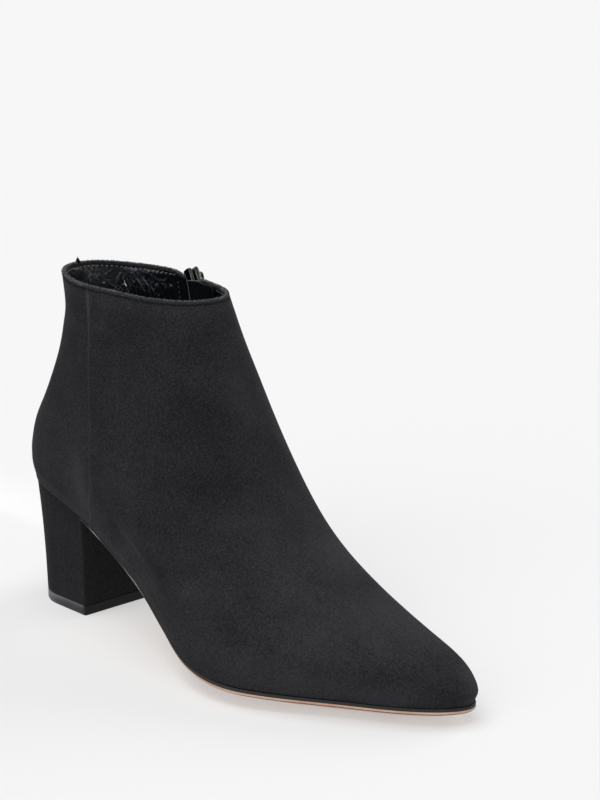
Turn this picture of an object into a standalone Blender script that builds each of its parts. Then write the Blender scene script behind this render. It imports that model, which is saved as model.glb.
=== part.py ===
"""Block heel ankle boot in black suede, right foot, about EU 38, with a zip on the inner side.

The origin is the middle of the heel's ground face. +X runs to the toe, +Y to the inner side of the foot and
+Z up. Sizes are in millimetres, and MM turns them into metres when a mesh is made.

The upper is a stack of rings that climb from the feather edge, where it meets the sole, to the collar. From
the side a ring is a straight line from the back profile to the instep profile, which sags towards the
feather edge by an amount that fades to nothing at the collar. From above it is an ellipse whose half-width
changes along its length. Sole, heel seat and insole are worked out from the lowest ring.
"""

import bmesh
import bpy
import numpy as np
from mathutils import Matrix, Vector

MM = 0.001
GAP = 0.3  # between pieces that touch

# The upper, a row for each ring: where its back and front ends are, and its half-width at six stations
# along its length before the ends are rounded off.
RING_COLUMNS = (
    "level", "back_x", "back_z", "front_x", "front_z", "back", "heel", "waist", "ball", "toe", "tip",
)
RINGS = np.array(
    [
        (0.00, -34.0, 59.5, 223.5, 9.3, 48.0, 36.5, 27.0, 39.5, 27.5, 30.0),
        (0.08, -35.5, 67.0, 225.5, 14.5, 50.0, 40.0, 29.0, 41.5, 32.0, 33.0),
        (0.16, -35.0, 73.5, 221.0, 21.0, 50.0, 41.0, 30.0, 41.5, 35.5, 34.5),
        (0.30, -32.5, 83.0, 195.5, 31.0, 48.5, 42.0, 32.0, 40.5, 40.5, 38.0),
        (0.45, -25.5, 95.5, 160.0, 45.0, 45.5, 41.5, 34.0, 40.0, 44.0, 42.5),
        (0.60, -15.0, 110.5, 131.5, 69.0, 41.5, 39.0, 35.0, 38.0, 45.0, 40.5),
        (0.75, -7.0, 128.0, 112.0, 98.0, 36.5, 35.0, 34.0, 34.0, 41.5, 37.5),
        (0.88, -2.5, 145.0, 97.0, 126.5, 32.0, 31.5, 31.5, 31.5, 36.0, 36.0),
        (1.00, -4.5, 162.5, 86.0, 153.5, 30.0, 30.0, 30.5, 28.0, 31.0, 34.0),
    ]
)
RING = dict(zip(RING_COLUMNS, RINGS.T))
WIDTHS = RINGS[:, RING_COLUMNS.index("back"):]

# Where the six stations lie along a ring, from its back end to its front end, and how far the middle of the
# lowest ring swings to the inner side there.
STATION_COLUMNS = ("place", "swing")
STATIONS = np.array([(0.00, 0.0), (0.15, 0.0), (0.40, -4.5), (0.70, -7.0), (0.88, 1.5), (1.00, 12.0)])
STATION = dict(zip(STATION_COLUMNS, STATIONS.T))

# The bed under the foot, a row for each place along it: height of its edge and depth of its hollow.
BED_COLUMNS = ("x", "height", "hollow")
BED_ROWS = np.array(
    [
        (-34.0, 59.5, 1.5),
        (-1.0, 56.0, 2.5),
        (24.0, 50.6, 2.5),
        (54.0, 38.8, 2.2),
        (84.0, 23.8, 2.8),
        (112.0, 13.1, 4.8),
        (134.0, 9.95, 5.9),
        (159.0, 8.85, 5.4),
        (189.0, 8.4, 3.6),
        (226.0, 8.95, 0.8),
    ]
)
BED = dict(zip(BED_COLUMNS, BED_ROWS.T))
BED_POWER = 2.5  # how late the hollow rises to its edge
HOLLOW_ENDS = 0.45  # sine of the angle over which the hollow starts at heel and toe

SAG_POWER = 1.35  # how the rings' sag fades with level
SEAM_LEAN = 0.47  # radians that the side seams lean to the back between collar and feather edge
WALL = 2.0  # suede and lining together
FEATHER_BAND = 0.06  # levels over which the wall's cut edge turns level

# The upper's mesh
UPPER_LEVELS = (
    0.0, 0.02, 0.045, 0.075, 0.105, 0.135, 0.165, 0.2, 0.25, 0.3, 0.36, 0.42, 0.48, 0.54, 0.6, 0.66, 0.72,
    0.78, 0.84, 0.9, 0.95, 1.0,
)
UPPER_COLUMNS = 69

# Sole
SOLE_EDGE = 2.2
SOLE_MIDDLE = 4.0
SOLE_GROW = 0.5  # how far the sole stands out past the feather edge
SOLE_ROWS = 30
BED_SIDES = np.linspace(-1.0, 1.0, 9)  # across the bed, outer edge to inner edge

# Heel
BREAST_TOP_X = 25.4
HEEL_FOOT_LENGTH = 45.0
HEEL_FOOT_WIDTH = 48.6
HEEL_FOOT_POWER = 2.15  # roundness of the foot's back
HEEL_INSET = 0.4  # how far the heel's top is inside the feather edge
HEEL_ROWS = 14
TIP_THICKNESS = 4.6

# Insole
INSOLE_THICKNESS = 2.0
INSOLE_CLEAR = 0.6  # from the upper's wall at the insole's underside
INSOLE_TAPER = 0.8  # how much smaller its top is
INSOLE_ROWS = 26

# Zip, offsets measured from its middle towards the toe
ZIP_TURN = np.pi / 2
ZIP_END = 0.25  # level of its bottom end
ZIP_SLOT = 4.6
TEETH_WIDTH = 4.0
TEETH_PITCH_ROWS = 44
TEETH_DEPTHS = (0.5, 0.9)  # crest and hollow below the suede
TAPE_OFFSETS = (2.5, 14.0)
TAPE_THICKNESS = 0.8
TAPE_TOP = 0.985
GUARD_OFFSETS = (-5.5, -2.0, 2.0, 6.0, 10.5, 15.0, 16.5, 18.0, 19.5, 23.0)
GUARD_SETTLE = (15.0, 19.5)  # where it comes down on the wall, past the front tape
GUARD_LEVELS = (0.22, 0.96)
GUARD_THICKNESS = 1.0
GUARD_STANDOFF = 2.7  # behind the zip, beyond the upper's wall

# Slider and pull, in the slider's own frame: across, up the zip, out of the boot
SLIDER_BELOW_COLLAR = 2.5
SLIDER_LENGTH = 10.0
SLIDER_PLATE = (8.0, 1.2)  # width and thickness outside the boot
SLIDER_BACK = (7.0, 0.8)  # width and thickness inside the boot
SLIDER_NECK = 3.4
SLIDER_LIFT = 0.5  # of the outer plate above the suede
BRIDGE_WIDTH = 2.2
BRIDGE_SPAN = 6.0
BRIDGE_BAR = 0.9
TUNNEL_HEIGHT = 2.2
PULL_THICKNESS = 1.1
PULL_BAR = 1.2
PULL_WIDTH = 5.8
PULL_LENGTH = 24.0
EYE_WIDTH = 3.4
EYE_LENGTH = 4.6

# Colours as linear RGB with roughness and metallic value
FINISHES = {
    "suede": ((0.020, 0.020, 0.022), 0.95, 0.0),
    "sole_leather": ((0.42, 0.22, 0.12), 0.55, 0.0),
    "rubber": ((0.016, 0.016, 0.017), 0.55, 0.0),
    "lining_leather": ((0.010, 0.011, 0.012), 0.40, 0.0),
    "zip_tape": ((0.008, 0.008, 0.009), 0.90, 0.0),
    "gunmetal": ((0.16, 0.16, 0.17), 0.30, 1.0),
}


def through(at, places, values):
    """Values at the given spots on a smooth curve through the table: cubic pieces with weighted slopes."""
    at = np.clip(at, places[0], places[-1])
    step = np.diff(places)
    tail = (1,) * (np.ndim(values) - 1)
    rise = np.diff(values, axis=0) / step.reshape((-1,) + tail)
    share = (step[:-1] / (step[:-1] + step[1:])).reshape((-1,) + tail)
    slope = np.concatenate([rise[:1], rise[:-1] * (1 - share) + rise[1:] * share, rise[-1:]])
    piece = np.clip(np.searchsorted(places, at, side="right") - 1, 0, len(step) - 1)
    shape = np.shape(at) + tail
    run = step[piece].reshape(shape)
    t = ((at - places[piece]) / step[piece]).reshape(shape)
    start = values[piece] * (1 + 2 * t) * (1 - t) ** 2 + slope[piece] * run * t * (1 - t) ** 2
    end = values[piece + 1] * (3 - 2 * t) * t**2 - slope[piece + 1] * run * (1 - t) * t**2
    return start + end


def smoothstep(t):
    t = np.clip(t, 0.0, 1.0)
    return t * t * (3 - 2 * t)


def unit(vectors):
    return vectors / np.linalg.norm(vectors, axis=-1, keepdims=True)


def ring_point(level, angle):
    """A point of the upper's outside: angle 0 is the toe, a quarter turn the inner side, a half turn back."""
    level, angle = np.broadcast_arrays(np.clip(level, 0.0, 1.0), angle)
    place = (1 + np.cos(angle)) / 2
    ends = {name: through(level, RING["level"], RING[name]) for name in RING_COLUMNS[1:5]}
    x = ends["back_x"] + (ends["front_x"] - ends["back_x"]) * place
    chord = ends["back_z"] + (ends["front_z"] - ends["back_z"]) * place
    low_x = RING["back_x"][0] + (RING["front_x"][0] - RING["back_x"][0]) * place
    low_chord = RING["back_z"][0] + (RING["front_z"][0] - RING["back_z"][0]) * place
    sag = through(low_x, BED["x"], BED["height"]) - low_chord
    z = chord + sag * (1 - level) ** SAG_POWER
    share = through(place, STATION["place"], np.eye(len(STATIONS)))
    width = (through(level, RING["level"], WIDTHS) * share).sum(-1)
    swing = (share * STATION["swing"]).sum(-1) * (1 - level)
    return np.stack([x, swing + width * np.sin(angle), z], -1)


def outside(level, turn):
    """The same point by turn, whose quarter turns follow the two side seams."""
    return ring_point(level, turn + SEAM_LEAN * (1 - np.clip(level, 0.0, 1.0)) * np.sin(turn))


def outward(level, turn):
    """Unit normal of the upper, turned level at the feather edge."""
    small = 1e-4
    across = outside(level, turn + small) - outside(level, turn - small)
    along = outside(level + small, turn) - outside(level - small, turn)
    normal = unit(np.cross(across, along))
    normal[..., 2] *= smoothstep(np.broadcast_to(level, normal.shape[:-1]) / FEATHER_BAND)
    return unit(normal)


def upper_point(level, turn, depth=0.0):
    """A point at the given depth inside the upper's outside."""
    return outside(level, turn) - outward(level, turn) * np.asarray(depth)[..., None]


def material(name):
    """The named finish as a Principled material."""
    found = bpy.data.materials.get(name)
    if found:
        return found
    colour, roughness, metallic = FINISHES[name]
    made = bpy.data.materials.new(name)
    made.use_nodes = True
    shader = made.node_tree.nodes["Principled BSDF"]
    shader.inputs["Base Color"].default_value = (*colour, 1.0)
    shader.inputs["Roughness"].default_value = roughness
    shader.inputs["Metallic"].default_value = metallic
    return made


def add_object(name, data, finish, collection):
    obj = bpy.data.objects.new(name, data)
    data.materials.append(material(finish))
    collection.objects.link(obj)
    return obj


def solid_between(name, first, second, finish, collection, present=None):
    """One closed solid between two like grids of points: their cells, and a rim along every open side.

    present says which cells there are. With as many columns of cells as of points, the grid closes on itself.
    """
    rows, columns = first.shape[:2]
    if present is None:
        present = np.ones((rows - 1, columns - 1), bool)
    mesh = bmesh.new()
    sheets = [[mesh.verts.new(point * MM) for point in sheet.reshape(-1, 3)] for sheet in (first, second)]
    wide = present.shape[1]

    def corners(row, column):
        right = (column + 1) % columns
        return [row * columns + column, row * columns + right, (row + 1) * columns + right,
                (row + 1) * columns + column]

    def there(row, column):
        if wide == columns:
            column %= columns
        return 0 <= row < rows - 1 and 0 <= column < wide and present[row, column]

    for row, column in np.argwhere(present):
        around = corners(row, column)
        mesh.faces.new([sheets[0][i] for i in around])
        mesh.faces.new([sheets[1][i] for i in reversed(around)])
        beside = ((row - 1, column), (row, column + 1), (row + 1, column), (row, column - 1))
        for side, neighbour in enumerate(beside):
            if there(*neighbour):
                continue
            start, end = around[side], around[(side + 1) % 4]
            mesh.faces.new([sheets[0][end], sheets[0][start], sheets[1][start], sheets[1][end]])
    bmesh.ops.remove_doubles(mesh, verts=mesh.verts, dist=1e-7)
    bmesh.ops.delete(mesh, geom=[v for v in mesh.verts if not v.link_faces], context="VERTS")
    bmesh.ops.recalc_face_normals(mesh, faces=mesh.faces)
    data = bpy.data.meshes.new(name)
    mesh.to_mesh(data)
    mesh.free()
    data.shade_smooth()
    data.set_sharp_from_angle(angle=np.radians(40))
    return add_object(name, data, finish, collection)


def zip_turn(level, offset):
    """Turn of the spot that lies the given distance in front of the zip's middle."""
    small = 1e-4
    step = outside(level, ZIP_TURN + small) - outside(level, ZIP_TURN - small)
    return ZIP_TURN - offset * 2 * small / np.linalg.norm(step, axis=-1)


def build_upper(collection):
    """The hollow upper: open at the collar and underneath, and slit down the inner side for the zip."""
    level = np.array(UPPER_LEVELS)[:, None]
    half_slot = ZIP_TURN - zip_turn(level, ZIP_SLOT / 2)
    turn = ZIP_TURN + half_slot + 2 * (np.pi - half_slot) * np.linspace(0, 1, UPPER_COLUMNS)
    present = np.ones((len(level) - 1, UPPER_COLUMNS), bool)
    present[:, -1] = level[1:, 0] <= ZIP_END
    outer = upper_point(level, turn)
    inner = upper_point(level, turn, np.full(turn.shape, WALL))
    return solid_between("upper", outer, inner, "suede", collection, present)


def bed_edge(angle, grow):
    """Plan of the feather edge moved out by the given distance."""
    small = 1e-4
    ahead, behind = ring_point(0.0, angle + small), ring_point(0.0, angle - small)
    tangent = unit((ahead - behind)[..., :2])
    return ring_point(0.0, angle)[..., :2] + grow * np.stack([tangent[..., 1], -tangent[..., 0]], -1)


def bed_fade(angles):
    """How much of the hollow there is at each station: none at the two ends."""
    return smoothstep(np.sin(angles) / HOLLOW_ENDS)[:, None]


def bed_sheet(angles, grow, lift):
    """Grid over the bed, station by station: hollow across, and raised by lift."""
    outer, inner = bed_edge(-angles, grow), bed_edge(angles, grow)
    share = ((BED_SIDES + 1) / 2)[None, :, None]
    plan = outer[:, None] * (1 - share) + inner[:, None] * share
    height = through(plan[..., 0], BED["x"], BED["height"])
    hollow = through(plan[..., 0], BED["x"], BED["hollow"])
    z = height - hollow * bed_fade(angles) * (1 - np.abs(BED_SIDES) ** BED_POWER) + lift
    return np.concatenate([plan, z[..., None]], -1)


def bed_angle(x):
    """Angle of the feather edge's point at the given place along the foot."""
    place = (x - RING["back_x"][0]) / (RING["front_x"][0] - RING["back_x"][0])
    return np.arccos(2 * place - 1)


def build_outsole(collection):
    """Leather sole from the toe to the heel's breast, flat on the ground under the ball of the foot."""
    angles = np.linspace(0.0, bed_angle(BREAST_TOP_X + GAP), SOLE_ROWS)
    top = bed_sheet(angles, SOLE_GROW, -GAP)
    top[..., 0] = np.maximum(top[..., 0], BREAST_TOP_X + GAP)
    bottom = top.copy()
    bottom[..., 2] -= SOLE_EDGE + (SOLE_MIDDLE - SOLE_EDGE) * bed_fade(angles) * (1 - BED_SIDES**2)
    bottom[..., 2] = np.maximum(bottom[..., 2], 0.0)
    return solid_between("outsole", top, bottom, "sole_leather", collection)


def heel_angles():
    return np.linspace(bed_angle(BREAST_TOP_X), np.pi, HEEL_ROWS)


def heel_foot(z):
    """Flat grid of the heel's foot: a straight breast, straight sides and a round back."""
    top_x = ring_point(0.0, heel_angles())[:, 0]
    share = (top_x - top_x[-1]) / (top_x[0] - top_x[-1])
    half_length = HEEL_FOOT_LENGTH / 2
    x = half_length * (2 * share - 1)
    behind = np.clip(-x / half_length, 0.0, 1.0)
    half_width = HEEL_FOOT_WIDTH / 2 * (1 - behind**HEEL_FOOT_POWER) ** (1 / HEEL_FOOT_POWER)
    y = half_width[:, None] * BED_SIDES
    return np.stack([np.broadcast_to(x[:, None], y.shape), y, np.full(y.shape, z)], -1)


def build_heel(collection):
    """Suede-covered block from the seat of the upper down to the top piece."""
    seat = bed_sheet(heel_angles(), -HEEL_INSET, -GAP)
    seat[..., 0] = np.minimum(seat[..., 0], BREAST_TOP_X)
    return solid_between("heel", seat, heel_foot(TIP_THICKNESS + GAP), "suede", collection)


def build_heel_tip(collection):
    """Rubber top piece that the heel stands on."""
    return solid_between("heel_tip", heel_foot(TIP_THICKNESS), heel_foot(0.0), "rubber", collection)


def build_insole(collection):
    """Leather-covered insole that lies on sole and heel inside the upper."""
    angles = np.linspace(0.0, np.pi, INSOLE_ROWS)
    clear = WALL + INSOLE_CLEAR
    top = bed_sheet(angles, -clear - INSOLE_TAPER, INSOLE_THICKNESS)
    return solid_between("insole", top, bed_sheet(angles, -clear, 0.0), "lining_leather", collection)


def strip(name, levels, offsets, depths, finish, collection):
    """Solid beside the zip's middle line, between an outer and an inner depth below the suede."""
    level = np.asarray(levels)[:, None]
    turn = zip_turn(level, np.asarray(offsets)[None, :])
    outer, inner = (upper_point(level, turn, np.broadcast_to(depth, turn.shape)) for depth in depths)
    return solid_between(name, outer, inner, finish, collection)


def build_zip(collection):
    """Two tapes inside the wall, the closed teeth in the slot, and the leather guard behind them."""
    tape_depths = (WALL + GAP, WALL + GAP + TAPE_THICKNESS)
    tape_levels = np.linspace(ZIP_END - 0.01, TAPE_TOP, 14)
    near, far = TAPE_OFFSETS
    strip("zip_tape_front", tape_levels, np.linspace(near, far, 4), tape_depths, "zip_tape", collection)
    strip("zip_tape_rear", tape_levels, np.linspace(-far, -near, 4), tape_depths, "zip_tape", collection)

    rise = np.linalg.norm(outside(1.0, ZIP_TURN) - outside(0.9, ZIP_TURN)) / 0.1
    below_slider = (SLIDER_BELOW_COLLAR + SLIDER_LENGTH / 2 + 1.0) / rise
    teeth_levels = np.linspace(ZIP_END + 0.006, 1.0 - below_slider, TEETH_PITCH_ROWS)
    crest = np.where(np.arange(TEETH_PITCH_ROWS) % 2, *TEETH_DEPTHS)[:, None]
    half = TEETH_WIDTH / 2
    strip("zip_teeth", teeth_levels, (-half, half), (crest, tape_depths[1]), "zip_tape", collection)

    settle = smoothstep((np.array(GUARD_OFFSETS) - GUARD_SETTLE[0]) / np.ptp(GUARD_SETTLE))
    guard_depth = WALL + GUARD_STANDOFF + (GAP - GUARD_STANDOFF) * settle
    guard_levels = np.linspace(*GUARD_LEVELS, 12)
    depths = (guard_depth, guard_depth + GUARD_THICKNESS)
    strip("zip_guard", guard_levels, GUARD_OFFSETS, depths, "lining_leather", collection)


def slider_frame():
    """Matrix of the slider: across to the back, up the zip and out of the boot, placed below the collar."""
    level = 0.97
    out = outward(np.array(level), np.array(ZIP_TURN))
    edge = outside(1.0, ZIP_TURN)
    up = unit(edge - outside(level - 0.03, ZIP_TURN))
    out = unit(out - up * (out @ up))
    across = np.cross(up, out)
    place = edge - up * SLIDER_BELOW_COLLAR
    frame = Matrix([(*row, 0.0) for row in np.stack([across, up, out], 1)] + [(0.0, 0.0, 0.0, 1.0)])
    return Matrix.Translation(Vector(place * MM)) @ frame


def box(name, low, high, collection):
    """A box between two corners, in the slider's frame."""
    mesh = bmesh.new()
    bmesh.ops.create_cube(mesh, size=1.0)
    low, high = Vector(low) * MM, Vector(high) * MM
    bmesh.ops.scale(mesh, vec=high - low, verts=mesh.verts)
    bmesh.ops.translate(mesh, vec=(low + high) / 2, verts=mesh.verts)
    data = bpy.data.meshes.new(name)
    mesh.to_mesh(data)
    mesh.free()
    return add_object(name, data, "gunmetal", collection)


def build_slider(frame, collection, helpers):
    """Slider: a plate outside the boot, a neck in the slot, a plate inside, and the bridge for the pull."""
    half = SLIDER_LENGTH / 2
    plate_low, plate_high = SLIDER_LIFT, SLIDER_LIFT + SLIDER_PLATE[1]
    back_high = -(WALL + GAP + TAPE_THICKNESS + GAP)
    back_low = back_high - SLIDER_BACK[1]
    bar_low = plate_high + TUNNEL_HEIGHT
    bar_high = bar_low + BRIDGE_BAR
    half_span, half_bridge = BRIDGE_SPAN / 2, BRIDGE_WIDTH / 2
    overlap = 0.3
    slider = box(
        "zip_slider",
        (-SLIDER_PLATE[0] / 2, -half, plate_low),
        (SLIDER_PLATE[0] / 2, half, plate_high),
        collection,
    )
    inset = half - overlap
    post = half_span - BRIDGE_BAR
    extras = {
        "slider_neck": ((-SLIDER_NECK / 2, -inset, back_low + overlap),
                        (SLIDER_NECK / 2, inset, plate_high - overlap)),
        "slider_back": ((-SLIDER_BACK[0] / 2, -half, back_low), (SLIDER_BACK[0] / 2, half, back_high)),
        "bridge_foot": ((-half_bridge, -half_span, plate_high - overlap),
                        (half_bridge, -post, bar_high - overlap)),
        "bridge_head": ((-half_bridge, post, plate_high - overlap),
                        (half_bridge, half_span, bar_high - overlap)),
        "bridge_bar": ((-half_bridge - 0.05, -half_span - 0.05, bar_low),
                       (half_bridge + 0.05, half_span + 0.05, bar_high)),
    }
    slider.matrix_world = frame
    for name, corners in extras.items():
        helper = box(name, *corners, helpers)
        helper.matrix_world = frame
        helper.hide_render = True
        helper.display_type = "WIRE"
        joined = slider.modifiers.new(name, "BOOLEAN")
        joined.operation = "UNION"
        joined.object = helper
    return slider


def build_pull(frame, collection):
    """Flat pull hung on the bridge by its eye. Its origin is on the hinge line, and it hangs down the zip."""
    half, bar = PULL_WIDTH / 2, PULL_BAR / 2
    round_y = half - PULL_LENGTH
    arc = np.linspace(0.0, -np.pi, 13)
    rim = [(-half, bar), (half, bar)] + [(half * np.cos(a), round_y + half * np.sin(a)) for a in arc]
    eye = [(-EYE_WIDTH / 2, -bar), (-EYE_WIDTH / 2, -bar - EYE_LENGTH), (EYE_WIDTH / 2, -bar - EYE_LENGTH),
           (EYE_WIDTH / 2, -bar)]
    curve = bpy.data.curves.new("zip_pull", "CURVE")
    curve.dimensions = "2D"
    curve.fill_mode = "BOTH"
    curve.extrude = PULL_THICKNESS / 2 * MM
    for outline in (rim, eye):
        spline = curve.splines.new("POLY")
        spline.points.add(len(outline) - 1)
        for point, (across, up) in zip(spline.points, outline):
            point.co = (across * MM, up * MM, 0.0, 1.0)
        spline.use_cyclic_u = True
    pull = add_object("zip_pull", curve, "gunmetal", collection)
    hinge_height = SLIDER_LIFT + SLIDER_PLATE[1] + TUNNEL_HEIGHT / 2
    pull.matrix_world = frame @ Matrix.Translation((0.0, 0.0, hinge_height * MM))
    return pull


def main():
    for obj in list(bpy.data.objects):
        bpy.data.objects.remove(obj)
    boot = bpy.data.collections.new("ankle_boot")
    helpers = bpy.data.collections.new("helpers")
    for collection in (boot, helpers):
        bpy.context.scene.collection.children.link(collection)
    build_upper(boot)
    build_outsole(boot)
    build_heel(boot)
    build_heel_tip(boot)
    build_insole(boot)
    build_zip(boot)
    frame = slider_frame()
    build_slider(frame, boot, helpers)
    build_pull(frame, boot)


main()
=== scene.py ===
"""Black suede ankle boot for the right foot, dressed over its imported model.

Lengths are in millimetres until a mesh is made. The origin is the middle of the heel's ground face, +X runs
to the toe, +Y to the inner side of the foot and +Z up.
"""

import bmesh
import bpy
import numpy as np
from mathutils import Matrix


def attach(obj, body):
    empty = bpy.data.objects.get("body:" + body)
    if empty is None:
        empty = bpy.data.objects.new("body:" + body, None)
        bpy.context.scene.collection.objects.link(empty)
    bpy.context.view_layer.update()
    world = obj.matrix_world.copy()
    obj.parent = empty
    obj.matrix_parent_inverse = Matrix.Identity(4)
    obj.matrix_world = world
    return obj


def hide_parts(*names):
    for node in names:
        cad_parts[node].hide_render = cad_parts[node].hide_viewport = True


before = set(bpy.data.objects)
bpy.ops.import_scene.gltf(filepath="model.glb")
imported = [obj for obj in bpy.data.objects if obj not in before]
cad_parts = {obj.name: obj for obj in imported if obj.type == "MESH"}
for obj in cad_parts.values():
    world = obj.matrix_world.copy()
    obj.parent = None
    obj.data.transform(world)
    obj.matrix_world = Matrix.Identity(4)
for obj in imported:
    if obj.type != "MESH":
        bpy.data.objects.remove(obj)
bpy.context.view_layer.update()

# Upper
# The upper is suede, 0.95 mm thick, lasted over the foot's form and folded over at the collar. It closes in a
# plain seam down the outer side, and is slit down the inner side for the zip.
MM = 0.001
# Each ring runs round the boot at one level, 0 at the feather edge and 1 at the collar. Its two ends are
# given, and its half-widths at six stations from back to toe.
RING_COLUMNS = (
    "level", "back_x", "back_z", "front_x", "front_z", "back", "heel", "waist", "ball", "toe", "tip",
)
RINGS = np.array(
    [
        (0.00, -34.0, 59.5, 223.5, 9.3, 48.0, 36.5, 27.0, 39.5, 27.5, 30.0),
        (0.08, -35.5, 67.0, 225.5, 14.5, 50.0, 40.0, 29.0, 41.5, 32.0, 33.0),
        (0.16, -35.0, 73.5, 221.0, 21.0, 50.0, 41.0, 30.0, 41.5, 35.5, 34.5),
        (0.30, -32.5, 83.0, 195.5, 31.0, 48.5, 42.0, 32.0, 40.5, 40.5, 38.0),
        (0.45, -25.5, 95.5, 160.0, 45.0, 45.5, 41.5, 34.0, 40.0, 44.0, 42.5),
        (0.60, -15.0, 110.5, 131.5, 69.0, 41.5, 39.0, 35.0, 38.0, 45.0, 40.5),
        (0.75, -7.0, 128.0, 112.0, 98.0, 36.5, 35.0, 34.0, 34.0, 41.5, 37.5),
        (0.88, -2.5, 145.0, 97.0, 126.5, 32.0, 31.5, 31.5, 31.5, 36.0, 36.0),
        (1.00, -4.5, 162.5, 86.0, 153.5, 30.0, 30.0, 30.5, 28.0, 31.0, 34.0),
    ]
)
RING = dict(zip(RING_COLUMNS, RINGS.T))
WIDTHS = RINGS[:, RING_COLUMNS.index("back"):]
STATION_COLUMNS = ("place", "swing")
STATIONS = np.array([(0.00, 0.0), (0.15, 0.0), (0.40, -4.5), (0.70, -7.0), (0.88, 1.5), (1.00, 12.0)])
STATION = dict(zip(STATION_COLUMNS, STATIONS.T))
BED_COLUMNS = ("x", "height", "hollow")
BED_ROWS = np.array(
    [
        (-34.0, 59.5, 1.5),
        (-1.0, 56.0, 2.5),
        (24.0, 50.6, 2.5),
        (54.0, 38.8, 2.2),
        (84.0, 23.8, 2.8),
        (112.0, 13.1, 4.8),
        (134.0, 9.95, 5.9),
        (159.0, 8.85, 5.4),
        (189.0, 8.4, 3.6),
        (226.0, 8.95, 0.8),
    ]
)
BED = dict(zip(BED_COLUMNS, BED_ROWS.T))
SAG_POWER = 1.35
SEAM_LEAN = 0.47
SMALL_STEP = 1e-4
EASE_LEVELS = 0.06
EASE_START = 0.18
EASE_STOP = 0.92
EASE_FADE = 0.1
EASE_SHARE = 0.3
SIDE_SINES = (0.5, 0.8)
SIDE_DROP = 0.12
WAIST_LEVEL = 0.2
WAIST_REACH = 0.1
WAIST_EASE = 0.08
FEATHER_BAND = 0.06
FEATHER_LIP = 0.02
WALL = 2.0
SUEDE = 0.95
ZIP_TURN = np.pi / 2
ZIP_END = 0.25
ZIP_SLOT = 4.6
SLOT_CLOSES = 0.02
SLIT_FADE = 0.03
HAIRLINE = 0.1
NEAR_TOP = 0.97
CORNER_DROP = 2.7
CORNER_REACH = 6.5
COLLAR_RIPPLE = 0.04
COLLAR_WAVES = ((9, 1.0), (83, 0.0), (131, 1.0))
FOLD = WALL / 2
FOLD_LIP = 0.10
LIP_FADE = (1.9, 0.9)
FOLD_FUZZ = 0.06
TURN_IN = 0.7
TUCK = np.array([(0.3, WALL), (0.7, WALL), (1.0, WALL - 0.15), (1.0, SUEDE)])
INSIDE_CLEAR = 0.002
TOP_STITCH = 2.0
STITCH_DENT = 0.4
STITCH_SINK = 0.16
LASTED_OVER = 0.5
UNEVEN = 0.16
UNEVEN_WAVES = ((5, 11), (3, -17))
UNEVEN_FADE = (1.0, 8 / 9)
ROW_CROWD = 0.5
COLUMN_CROWD = 0.55
MERGE_DISTANCE = 1e-7
SLIVER = 1e-8

# The seam's line is moved by these distances at these levels. A bell is given by its height, place and width,
# and a fade by where it is 0 and where it is 1.
SEAM_TURN = 3 * np.pi / 2
SEAM_SHIFT = np.array(
    [
        (0.0, -0.4), (0.1, -1.0), (0.2, -2.6), (0.3, -1.0), (0.45, 2.8),
        (0.6, 4.0), (0.7, 2.3), (0.85, -0.6), (1.0, 0.0),
    ]
)
SEAM_BLEND = 0.7
SEAM_SECTION = ((0.17, 1.0, 0.8), (-0.40, 0.0, 0.40))
SEAM_FADE = (1.5, 3.5)
SEAM_BULK = (0.25, -0.6, 1.0)
# Painted highlight on the rear side of the seam and painted shade in its groove, fainter halfway up and
# broken up along the seam.
SEAM_LIGHT = 3.2
SEAM_LIGHT_PLACE = -0.9
SEAM_LIGHT_WIDTH = 0.8
SEAM_LIGHT_WIDENS = 0.6
SEAM_WIDE_FADE = (0.82, 0.94)
SEAM_DARK = (-1.6, 0.1, 0.45)
SEAM_WORN = 0.6
SEAM_WORN_ABOVE = (0.38, 0.50)
SEAM_WORN_BELOW = (0.92, 0.84)
SEAM_BREAKS = 61
SEAM_BROKEN = (0.8, 0.2)
SEAM_TOP_FADE = (0.0, 3.0)
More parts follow.
